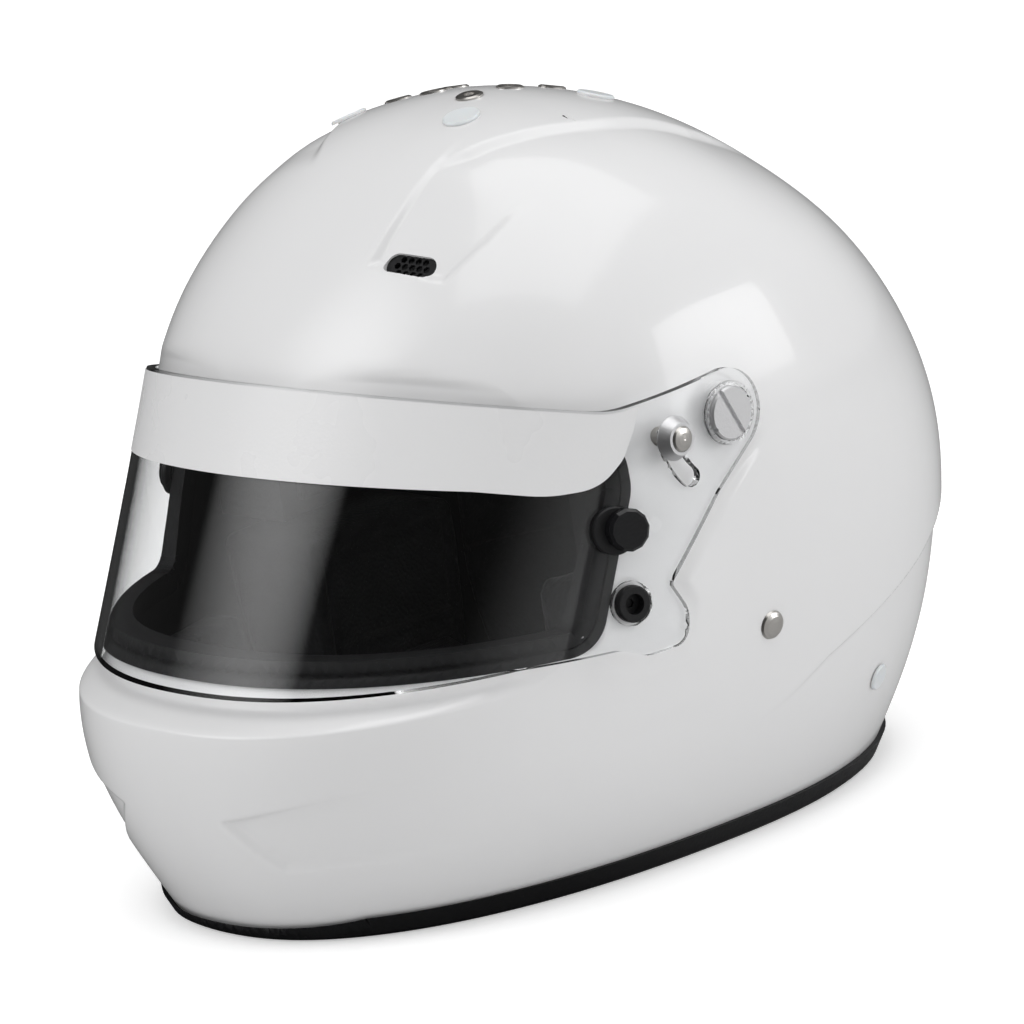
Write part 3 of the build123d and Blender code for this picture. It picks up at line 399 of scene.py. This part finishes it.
def bent_grid(name, columns, rows, reaches, made):
    # A flat grid, cut finer near the moulded edges while still flat
    deselect()
    bpy.ops.mesh.primitive_grid_add(x_subdivisions=columns, y_subdivisions=rows, size=1, location=(0, 0, 0))
    grid = bpy.context.object
    grid.name = grid.data.name = name
    grid.data.materials.append(made)
    for reach in reaches:
        centres = np.zeros(len(grid.data.polygons) * 3)
        grid.data.polygons.foreach_get("center", centres)
        centres = centres.reshape(-1, 3)
        places = skin(centres[:, 0] + 0.5, centres[:, 1] + 0.5, 0, front_shares)
        bpy.ops.object.mode_set(mode="EDIT")
        bpy.ops.mesh.select_all(action="DESELECT")
        bpy.ops.object.mode_set(mode="OBJECT")
        grid.data.polygons.foreach_set("select", fine_here(places, reach))
        bpy.ops.object.mode_set(mode="EDIT")
        bpy.ops.mesh.select_mode(type="FACE")
        bpy.ops.mesh.subdivide(number_cuts=1)
        bpy.ops.object.mode_set(mode="OBJECT")
    return grid


def vertices_of(piece):
    places = np.zeros(len(piece.data.vertices) * 3)
    piece.data.vertices.foreach_get("co", places)
    return places.reshape(-1, 3)


def place_vertices(piece, places):
    piece.data.vertices.foreach_set("co", np.ascontiguousarray(places, float).ravel())
    piece.data.update()


def smoothed(piece, sharp):
    # Shades a piece smooth, except along edges sharper than an angle
    pick(piece)
    bpy.ops.object.shade_smooth_by_angle(angle=math.radians(sharp))


def stands_for(piece, node, body):
    # What the frame needs to know of a new piece
    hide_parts(node)
    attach(piece, body)


def moulded_grain():
    # What every finish shares: a fine grain, and patches that are a little duller
    patch_size, grain_height = 26.0, 0.0004
    group = bpy.data.node_groups.new("moulded_grain", "ShaderNodeTree")
    for name, start in (("Grain Size", 900.0), ("Roughness", 0.3), ("Variation", 0.06), ("Depth", 0.02)):
        socket = group.interface.new_socket(name, in_out="INPUT", socket_type="NodeSocketFloat")
        socket.default_value = start
    group.interface.new_socket("Roughness", in_out="OUTPUT", socket_type="NodeSocketFloat")
    group.interface.new_socket("Normal", in_out="OUTPUT", socket_type="NodeSocketVector")
    given, where = group.nodes.new("NodeGroupInput"), group.nodes.new("ShaderNodeTexCoord")
    place = where.outputs["Object"]
    fine = {"Vector": place, "Scale": given.outputs["Grain Size"], "Detail": 2.0}
    grain = linked(group, "ShaderNodeTexNoise", fine)
    patches = linked(group, "ShaderNodeTexNoise", {"Vector": place, "Scale": patch_size, "Detail": 3.0})
    uneven = maths(group, "SUBTRACT", patches.outputs["Fac"], 0.5)
    rough = maths(group, "MULTIPLY_ADD", uneven, given.outputs["Variation"], given.outputs["Roughness"])
    pitted = {"Height": grain.outputs["Fac"], "Strength": given.outputs["Depth"], "Distance": grain_height}
    bump = linked(group, "ShaderNodeBump", pitted)
    linked(group, "NodeGroupOutput", {"Roughness": rough, "Normal": bump.outputs["Normal"]})
    return group


grain_group = moulded_grain()


def finish_material(name, color, roughness, grain=900.0, variation=0.06, depth=0.1, **settings):
    # A finish with the shared grain; settings go to the shader's own sockets
    made = bpy.data.materials.new(name)
    made.use_nodes = True
    tree = made.node_tree
    shader = tree.nodes["Principled BSDF"]
    shader.inputs["Base Color"].default_value = (*color, 1)
    for socket, value in settings.items():
        shader.inputs[socket.replace("_", " ")].default_value = value
    given = {"Grain Size": grain, "Roughness": roughness, "Variation": variation, "Depth": depth}
    grains = linked(tree, "ShaderNodeGroup", {}, node_tree=grain_group)
    for socket, value in given.items():
        grains.inputs[socket].default_value = value
    tree.links.new(grains.outputs["Roughness"], shader.inputs["Roughness"])
    tree.links.new(grains.outputs["Normal"], shader.inputs["Normal"])
    return made


def open_eyeport(mesh, with_vent):
    # Deletes the faces in the eyeport, and those in the brow vent's slot
    middles = np.array([face.calc_center_median() for face in mesh.faces])
    open_here = within(eyeport_outline, middles[:, 1], middles[:, 2]) > 0.1
    if with_vent:
        slot_x, slot_y = vent_places(middles)
        slot = np.hypot(np.maximum(np.abs(slot_x) - vent_half, 0), slot_y) < vent_radius
        open_here |= slot & (middles[:, 2] > vent_foot)
    doomed = [face for face, gone in zip(list(mesh.faces), open_here) if gone]
    bmesh.ops.delete(mesh, geom=doomed, context="FACES")


def face_crown(mesh, outward):
    # Turns the skin's faces so that its crown looks outwards, or inwards
    bmesh.ops.recalc_face_normals(mesh, faces=mesh.faces)
    mesh.faces.ensure_lookup_table()
    crown = max(mesh.faces, key=lambda face: face.calc_center_median().z)
    if (crown.normal.z > 0) != outward:
        bmesh.ops.reverse_faces(mesh, faces=mesh.faces)


def new_walls(mesh, edges):
    # Draws a wall out of some edges, and gives the vertices at its far side
    walls = bmesh.ops.extrude_edge_only(mesh, edges=edges)["geom"]
    return [g for g in walls if isinstance(g, bmesh.types.BMVert)]


def sink_vent(mesh):
    # Rounds the brow vent's slot and gives it a wall down into the shell
    vent_edge = 205
    rims = [v for v in mesh.verts if v.is_boundary and v.co.z > vent_edge]
    slot_x, slot_y = vent_places(np.array([v.co for v in rims]))
    along, over = slot_axes()
    for v, a, b in zip(rims, slot_x, slot_y):
        nearest = max(-vent_half, min(vent_half, a))
        pull = vent_radius / max(math.hypot(a - nearest, b), 0.01) - 1
        v.co += along * (a - nearest) * pull + over * b * pull
    edges = [e for e in mesh.edges if e.is_boundary and e.verts[0].co.z > vent_edge]
    for v in new_walls(mesh, edges):
        v.co -= vent_out * vent_depth


def close_eyeport(mesh, inner_edge):
    # Gives the eyeport a wall from the outside to the lining's edge
    edges = [e for e in mesh.edges if e.is_boundary and eyeport_foot < e.verts[0].co.z < eyeport_top]
    met = new_walls(mesh, edges)
    for v in met:
        v.co = min(inner_edge, key=lambda place: (place - v.co).length)
    bmesh.ops.remove_doubles(mesh, verts=met, dist=0.01)


gelcoat = finish_material("white_gelcoat", (0.88, 0.88, 0.885), 0.26, grain=240.0, depth=0.02,
                          Coat_Weight=0.5, Coat_Roughness=0.06)
laminate = finish_material("bare_laminate", (0.02, 0.02, 0.021), 0.5, grain=300.0, depth=0.2)
shell = bent_grid("shell_moulding", 224, 98, (4.6, 3.0, 1.1), gelcoat)
flat = vertices_of(shell)
place_vertices(shell, moulded(skin(flat[:, 0] + 0.5, flat[:, 1] + 0.5, 0, front_shares)))
lining = bent_grid("shell_inside", 144, 60, (), laminate)
flat = vertices_of(lining)
place_vertices(lining, skin(flat[:, 0] + 0.5, flat[:, 1] + 0.5, wall, core_shares))
inner_edge = []
for piece, outward in ((lining, False), (shell, True)):
    mesh = bmesh.new()
    mesh.from_mesh(piece.data)
    bmesh.ops.remove_doubles(mesh, verts=mesh.verts, dist=0.02)
    open_eyeport(mesh, with_vent=outward)
    face_crown(mesh, outward)
    if outward:
        sink_vent(mesh)
        close_eyeport(mesh, inner_edge)
    else:
        edge = [v for v in mesh.verts if v.is_boundary and eyeport_foot < v.co.z < eyeport_top]
        inner_edge = [v.co.copy() for v in edge]
    mesh.to_mesh(piece.data)
    mesh.free()
pick(shell)
lining.select_set(True)
bpy.ops.object.join()
mesh = bmesh.new()
mesh.from_mesh(shell.data)
loose = [v for v in mesh.verts if v.is_boundary and v.co.z > eyeport_foot]
bmesh.ops.remove_doubles(mesh, verts=loose, dist=0.01)
rim = [e for e in mesh.edges if e.is_boundary and all(v.co.z < rim_z + 1 for v in e.verts)]
bmesh.ops.bridge_loops(mesh, edges=rim)
for v in mesh.verts:
    v.co *= mm
mesh.to_mesh(shell.data)
mesh.free()
smoothed(shell, 40)
stands_for(shell, "shell", "helmet")


# Base trim and eyeport gasket: black rubber mouldings pushed over the shell's lower
# rim and round the eyeport. A thin web at the bottom of the gasket's groove lies on
# the shell's seat.


def seamless(node, name, made, body, sharp=30):
    # A copy of a CAD node whose triangles are merged, so that its curved faces shade as one
    piece = bpy.data.objects.new(name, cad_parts[node].data.copy())
    piece.data.name = name
    bpy.context.scene.collection.objects.link(piece)
    pick(piece)
    bpy.ops.object.mode_set(mode="EDIT")
    bpy.ops.mesh.select_all(action="SELECT")
    bpy.ops.mesh.remove_doubles(threshold=0.00001)
    bpy.ops.object.mode_set(mode="OBJECT")
    smoothed(piece, sharp)
    even = piece.modifiers.new("even", "WEIGHTED_NORMAL")
    even.mode, even.weight, even.keep_sharp = "FACE_AREA", 100, True
    bpy.ops.object.modifier_apply(modifier=even.name)
    piece.data.materials.clear()
    piece.data.materials.append(made)
    stands_for(piece, node, body)
    return piece


rubber = finish_material("black_rubber", (0.012, 0.012, 0.013), 0.5, depth=0.25, Specular_IOR_Level=0.3)
seamless("base_trim", "rubber_base_trim", rubber, "helmet")
gasket = seamless("eyeport_gasket", "rubber_gasket", rubber, "helmet")

web_start, web_end, web_lift = 0.3, 4.4, 0.12
web = shell.copy()
web.data = shell.data.copy()
bpy.context.scene.collection.objects.link(web)
mesh = bmesh.new()
mesh.from_mesh(web.data)
middles = np.array([face.calc_center_median() for face in mesh.faces]) / mm
inside = Vector((0, 0, 0.13))
outward = np.array([face.normal.dot(face.calc_center_median() - inside) for face in mesh.faces]) > 0
past = -within(eyeport_outline, middles[:, 1], middles[:, 2])
kept = (past > web_start) & (past < web_end) & outward
kept &= (middles[:, 2] < eyeport_top) & (middles[:, 2] > eyeport_foot) & (middles[:, 1] < 0)
doomed = [face for face, stays in zip(list(mesh.faces), kept) if not stays]
bmesh.ops.delete(mesh, geom=doomed, context="FACES")
for v in mesh.verts:
    v.co += v.normal * web_lift * mm
mesh.to_mesh(web.data)
mesh.free()
web.data.materials.clear()
web.data.materials.append(rubber)
pick(gasket)
web.select_set(True)
bpy.ops.object.join()


# Visor and sun strip: a clear polycarbonate sheet 3 mm thick, formed to its curve, and
# a white film stuck along its top edge. Both are shaded by the form that they lie on.


def form_lean(places, inset):
    # Which way the visor's form faces near some places, and how far outside it they lie
    def swell(p):
        reach, power = visor_form(p[:, 2])
        length, width = reach - inset * visor_slant, visor_half - inset
        ahead = np.maximum(visor_back - p[:, 1], 0)
        return (np.abs(p[:, 0]) / width) ** power + (ahead / length) ** power

    near = 0.05
    slopes = [swell(places + step) - swell(places - step) for step in np.eye(3) * near]
    slopes = np.stack(slopes, 1) / (2 * near)
    steep = np.linalg.norm(slopes, axis=1)
    return slopes / steep[:, None], (swell(places) - 1) / steep


def follow_form(piece, insets):
    # Shades a sheet's curved faces by the form that they lie on, and its edges by themselves
    most_lean, most_off = 0.8, 0.4
    mesh = piece.data
    corners, owners = np.zeros(len(mesh.loops), int), np.zeros(len(mesh.loops), int)
    mesh.loops.foreach_get("vertex_index", corners)
    facing = np.zeros(len(mesh.polygons) * 3)
    mesh.polygons.foreach_get("normal", facing)
    shaded = np.zeros(len(mesh.loops) * 3)
    mesh.corner_normals.foreach_get("vector", shaded)
    facing, shaded = facing.reshape(-1, 3), shaded.reshape(-1, 3)
    for number, face in enumerate(mesh.polygons):
        owners[face.loop_start:face.loop_start + face.loop_total] = number
    places = vertices_of(piece)[corners] / mm
    for inset, side in insets:
        lean, off = form_lean(places, inset)
        along = (lean * facing[owners]).sum(1) * side > most_lean
        strays = ~along | (np.abs(off) > most_off)
        strays = np.bincount(owners, weights=strays, minlength=len(mesh.polygons))
        here = strays[owners] == 0
        shaded[here] = lean[here] * side
    mesh.normals_split_custom_set(shaded.tolist())


clear = finish_material("clear_polycarbonate", (0.985, 0.99, 0.993), 0.01, variation=0.01, depth=0.0,
                        Transmission_Weight=1, IOR=1.5)
light_let_through = 0.88
tree = clear.node_tree
paths = tree.nodes.new("ShaderNodeLightPath")
cast = maths(tree, "MULTIPLY_ADD", paths.outputs["Is Shadow Ray"], -light_let_through, 1.0)
tree.links.new(cast, tree.nodes["Principled BSDF"].inputs["Alpha"])
sheet = seamless("visor", "clear_visor", clear, "visor_body")
follow_form(sheet, ((0, 1), (visor_thick, -1)))
film_thick = 0.2
film = finish_material("white_film", (0.86, 0.86, 0.865), 0.28)
strip = seamless("sun_strip", "visor_strip", film, "visor_body")
follow_form(strip, ((-film_thick, 1), (0, -1)))


# Fasteners and fittings: CAD nodes whose shapes are right, each with its own finish.
# The pivot screws and cone nuts are turned aluminium, and the studs, rivets, eyelets
# and rings polished steel. The posts are moulded, and the knobs and snap enamelled.


def coat(names, made, sharp=35):
    # Gives CAD nodes a finish, smooth except along their sharp edges
    for name in names:
        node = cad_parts[name]
        node.data.materials.clear()
        node.data.materials.append(made)
        smoothed(node, sharp)


coat(["pivot_screws", "friction_nuts"],
     finish_material("bright_aluminium", (0.88, 0.88, 0.89), 0.46, depth=0.15, Metallic=1))
coat(["stop_studs", "strap_rivets", "crown_eyelets", "d_ring_outer", "d_ring_inner"],
     finish_material("polished_steel", (0.68, 0.66, 0.63), 0.3, depth=0.1, Metallic=1))
coat(["lock_posts", "lock_screws", "tearoff_bases", "tearoff_nuts", "brow_vent", "pivot_nuts", "strap_anchors"],
     finish_material("black_moulding", (0.012, 0.012, 0.013), 0.38, depth=0.15, Specular_IOR_Level=0.35))
coat(["tearoff_knob_left", "tearoff_knob_right", "strap_snap"],
     finish_material("black_enamel", (0.008, 0.008, 0.009), 0.12, Specular_IOR_Level=0.5))
coat(["crown_plugs", "rear_plugs"],
     finish_material("white_moulding", (0.86, 0.86, 0.86), 0.3, Subsurface_Weight=0.1))


# Impact liner: black expanded foam moulded in one piece and pushed up into the shell.
# The comfort liner and the pads cover all but its edges.
coat(["eps_liner"], finish_material("bead_foam", (0.02, 0.02, 0.021), 0.85, grain=320.0, depth=0.6,
                                    Specular_IOR_Level=0.2))


# Comfort liner, cheek pads, chin pad and neck roll: black knit sewn over soft foam.
# Each starts as the space that the frame leaves for it, a little small. The cheek pads, chin pad and neck roll
# are then blown up as cloth until they are plump, and the cheek pads and comfort liner get sewn channels
# pressed in afterwards.
knit = finish_material("black_knit", (0.013, 0.013, 0.014), 0.88, grain=1400.0, depth=0.5,
                       Specular_IOR_Level=0.15, Sheen_Weight=0.12, Sheen_Roughness=0.6)
knit_color, darkest, palest = (0.013, 0.013, 0.0145), 0.75, 1.35
stitch_size, stitch_height, fade_size = 620.0, 0.0005, 45.0
tree = knit.node_tree
cloth_shader = tree.nodes["Principled BSDF"]
where = tree.nodes.new("ShaderNodeTexCoord").outputs["Object"]
stitches = linked(tree, "ShaderNodeTexVoronoi", {"Vector": where, "Scale": stitch_size})
raised = {"Height": stitches.outputs["Distance"], "Strength": 0.5, "Distance": stitch_height}
loops = linked(tree, "ShaderNodeBump", raised)
tree.links.new(loops.outputs["Normal"], cloth_shader.inputs["Normal"])
fade = linked(tree, "ShaderNodeTexNoise", {"Vector": where, "Scale": fade_size, "Detail": 4.0})
worn = {"Value": fade.outputs["Fac"], "To Min": darkest, "To Max": palest}
shade = linked(tree, "ShaderNodeMapRange", worn).outputs["Result"]
deep = linked(tree, "ShaderNodeVectorMath", {0: knit_color, "Scale": shade}, operation="SCALE")
tree.links.new(deep.outputs["Vector"], cloth_shader.inputs["Base Color"])


def normals_of(piece):
    facing = np.zeros(len(piece.data.vertices) * 3)
    piece.data.vertices.foreach_get("normal", facing)
    return facing.reshape(-1, 3)


def blown_up(piece, small, pressure):
    # Where the piece's vertices are once it is filled like a cushion
    stiffness, frames = 12, 14
    cloth = piece.modifiers.new("stuffing", "CLOTH")
    cloth.settings.use_pressure = True
    cloth.settings.uniform_pressure_force = pressure
    cloth.settings.effector_weights.gravity = 0
    cloth.settings.quality = 4
    cloth.settings.tension_stiffness = cloth.settings.compression_stiffness = stiffness
    for step in range(1, frames + 1):
        bpy.context.scene.frame_set(step)
    blown = piece.evaluated_get(bpy.context.evaluated_depsgraph_get()).to_mesh()
    swollen = np.zeros(len(small) * 3)
    blown.vertices.foreach_get("co", swollen)
    piece.modifiers.clear()
    bpy.context.scene.frame_set(1)
    return swollen.reshape(-1, 3)


def plump(node, name, cell, pressure, cap):
    # A padded piece in the space of a CAD node, remeshed, blown up and held to that space
    shrink, most_proud = 0.0016, 0.0002
    piece = bpy.data.objects.new(name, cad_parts[node].data.copy())
    piece.data.name = name
    bpy.context.scene.collection.objects.link(piece)
    pick(piece)
    bpy.ops.object.mode_set(mode="EDIT")
    bpy.ops.mesh.select_all(action="SELECT")
    bpy.ops.mesh.remove_doubles(threshold=0.00002)
    bpy.ops.object.mode_set(mode="OBJECT")
    piece.data.remesh_voxel_size = cell
    bpy.ops.object.voxel_remesh()
    rest, facing = vertices_of(piece), normals_of(piece)
    small = rest - facing * shrink
    place_vertices(piece, small)
    if pressure:
        moved = blown_up(piece, small, pressure) - small
        far = np.linalg.norm(moved, axis=1)[:, None]
        moved *= np.minimum(1, cap / np.maximum(far, 1e-9))
        proud = np.maximum(((small + moved - rest) * facing).sum(1) - most_proud, 0)[:, None]
        place_vertices(piece, small + moved - facing * proud)
    soften = piece.modifiers.new("even", "SMOOTH")
    soften.factor, soften.iterations = 0.5, 4
    bpy.ops.object.modifier_apply(modifier=soften.name)
    rounded = piece.modifiers.new("rounded", "SUBSURF")
    rounded.levels = rounded.render_levels = 1
    bpy.ops.object.modifier_apply(modifier=rounded.name)
    piece.data.materials.clear()
    piece.data.materials.append(knit)
    for face in piece.data.polygons:
        face.use_smooth = True
    stands_for(piece, node, "helmet")
    return piece


def press_seams(piece, depth_at):
    # Presses sewn channels into a padded piece along its own normals
    places, facing = vertices_of(piece), normals_of(piece)
    place_vertices(piece, places - facing * depth_at(places / mm, facing)[:, None] * mm)


def channel(gap, width):
    # A sewn channel's depth, as a share, at some gaps from its middle
    return np.exp(-(gap / width) ** 2)


pad_outline = [(-46, 15), (33, 15), (33, 107), (-46, 107)]
pad_border, pad_middle, pad_seam_width = 9, 62, 1.3
pad_border_depth, pad_middle_depth = 1.5, 1.1


def cheek_seams(places, facing):
    # A seam round the pad's face, and one across its middle
    inside = within(pad_outline, places[:, 1], places[:, 2])
    inner = ease(0.1, 0.5, -facing[:, 0] * np.sign(places[:, 0]))
    middle = channel(places[:, 2] - pad_middle, pad_seam_width) * ease(pad_border, pad_border + 3, inside)
    border = channel(inside - pad_border, pad_seam_width)
    return inner * (pad_border_depth * border + pad_middle_depth * middle)


cap_middle, cap_seam_width, cap_seam_depth = (0, 9, 110), 1.6, 1.6
cap_long_seams, cap_side_top, cap_level_seams = (26, 62), 190, (78, 150)


def crown_seams(places, facing):
    # Two seams over the crown on each side, and two level ones round the head
    x, y, z = places.T
    inner = ease(-0.2, 0.2, -(facing * (places - cap_middle)).sum(1))
    long_seams = channel(np.abs(x) - cap_long_seams[0], cap_seam_width)
    long_seams += channel(np.abs(x) - cap_long_seams[1], cap_seam_width) * (z < cap_side_top)
    level_seams = sum(channel(z - height, cap_seam_width) for height in cap_level_seams)
    return cap_seam_depth * inner * np.minimum(long_seams + level_seams, 1)


cheek_left = plump("cheek_pad_left", "cheek_cushion_left", cell=0.0038, pressure=4, cap=0.006)
cheek_right = plump("cheek_pad_right", "cheek_cushion_right", cell=0.0038, pressure=4, cap=0.006)
plump("chin_foam", "chin_cushion", cell=0.0042, pressure=3, cap=0.004)
plump("neck_roll", "nape_cushion", cell=0.0038, pressure=4, cap=0.006)
crown_pad = plump("comfort_liner", "crown_cushion", cell=0.0030, pressure=0, cap=0.004)
press_seams(cheek_left, cheek_seams)
press_seams(cheek_right, cheek_seams)
press_seams(crown_pad, crown_seams)


# Chin straps: black nylon webbing 24 mm wide and 1.8 mm thick, riveted inside each
# side. The left one is looped round the rings and sewn; the right one is folded up.
web_half, web_thick, rib_count, rib_depth, edge_roundness = 0.0119, 0.00085, 17, 0.12, 14
strap_y = 0.009
webbing = finish_material("woven_webbing", (0.02, 0.02, 0.021), 0.7, depth=0.3,
                          Specular_IOR_Level=0.3, Sheen_Weight=0.1)
rib_size, pick_size, weave_height = 330.0, 200.0, 0.0004
tree = webbing.node_tree
laid = linked(tree, "ShaderNodeUVMap", {}, uv_map="weave").outputs["UV"]
ribs = linked(tree, "ShaderNodeTexWave", {"Vector": laid, "Scale": rib_size}, bands_direction="X")
picks = linked(tree, "ShaderNodeTexWave", {"Vector": laid, "Scale": pick_size}, bands_direction="Y")
woven = maths(tree, "MULTIPLY", ribs.outputs["Fac"], picks.outputs["Fac"])
weave_bump = linked(tree, "ShaderNodeBump", {"Height": woven, "Strength": 0.6, "Distance": weave_height})
tree.links.new(weave_bump.outputs["Normal"], tree.nodes["Principled BSDF"].inputs["Normal"])


def web_line(points):
    # Places along a smooth curve that the strap's middle follows, in the XZ plane
    curve = bpy.data.curves.new("strap_line", "CURVE")
    curve.dimensions = "3D"
    curve.resolution_u = 10
    spline = curve.splines.new("NURBS")
    spline.points.add(len(points) - 1)
    for knot, (x, z) in zip(spline.points, points):
        knot.co = (x * mm, strap_y, z * mm, 1)
    spline.order_u = 3
    spline.use_endpoint_u = True
    holder = bpy.data.objects.new("strap_line", curve)
    bpy.context.scene.collection.objects.link(holder)
    bpy.context.view_layer.update()
    settled = holder.evaluated_get(bpy.context.evaluated_depsgraph_get())
    traced = bpy.data.meshes.new_from_object(settled)
    line = np.array([v.co for v in traced.vertices])
    bpy.data.objects.remove(holder)
    return line


def web_section():
    # The webbing's section: faint ribs on both faces, and rolled edges
    across = np.linspace(-1, 1, rib_count)
    ribbed = web_thick * (1 - rib_depth * (np.arange(rib_count) % 2))
    ribbed = ribbed * np.sqrt(1 - np.abs(across) ** edge_roundness)
    upper = [(web_half * a, r) for a, r in zip(across, ribbed)]
    lower = [(web_half * a, -r) for a, r in zip(across[-2:0:-1], ribbed[-2:0:-1])]
    return upper + lower


def web_strip(name, node, points, sign):
    # Webbing along a path, with its section laid end to end
    line, section = web_line(points), web_section()
    lean = np.gradient(line, axis=0)
    lean /= np.linalg.norm(lean, axis=1)[:, None]
    over = np.stack([-lean[:, 2], np.zeros(len(line)), lean[:, 0]], 1)
    mesh, rings = bmesh.new(), []
    weave = mesh.loops.layers.uv.new("weave")
    for place, up in zip(line, over):
        rings.append([mesh.verts.new(Vector(place + np.array((0, a, 0)) + up * r)) for a, r in section])
    run = np.concatenate([[0], np.cumsum(np.linalg.norm(np.diff(line, axis=0), axis=1))])
    count = len(section)
    for i in range(len(rings) - 1):
        for j in range(count):
            k = (j + 1) % count
            face = mesh.faces.new((rings[i][j], rings[i + 1][j], rings[i + 1][k], rings[i][k]))
            for loop, (row, column) in zip(face.loops, ((i, j), (i + 1, j), (i + 1, k), (i, k))):
                loop[weave].uv = (section[column][0], run[row])
    mesh.faces.new(rings[0])
    mesh.faces.new(rings[-1][::-1])
    for v in mesh.verts:
        v.co.x *= sign
    bmesh.ops.recalc_face_normals(mesh, faces=mesh.faces)
    made = bpy.data.meshes.new(name)
    mesh.to_mesh(made)
    mesh.free()
    piece = bpy.data.objects.new(name, made)
    bpy.context.scene.collection.objects.link(piece)
    made.materials.append(webbing)
    smoothed(piece, 50)
    stands_for(piece, node, "helmet")


from_wall = [
    (109.4, 90.4), (109.2, 78), (108.8, 68), (100, 62.5), (84, 57.5), (68, 52.5), (57, 48.5), (56, 43),
]
round_rings = [
    (56, 39), (58, 37.2), (61.5, 36.6), (61.8, 32.7), (61, 29.3), (56, 29.3), (51, 29.3), (50.2, 32.7),
    (50.5, 36.6), (53.6, 37.3), (54.1, 40), (54.1, 45.5),
]
folded = [
    (56, 30), (56, 14.4), (53.8, 12.6), (51.6, 14.4), (51.6, 30), (51.6, 45.6), (49.4, 47.4), (47.2, 45.6),
    (47.2, 22),
]
web_strip("webbing_left", "chin_strap_left", from_wall + round_rings, sign=1)
web_strip("webbing_right", "chin_strap_right", from_wall + folded, sign=-1)
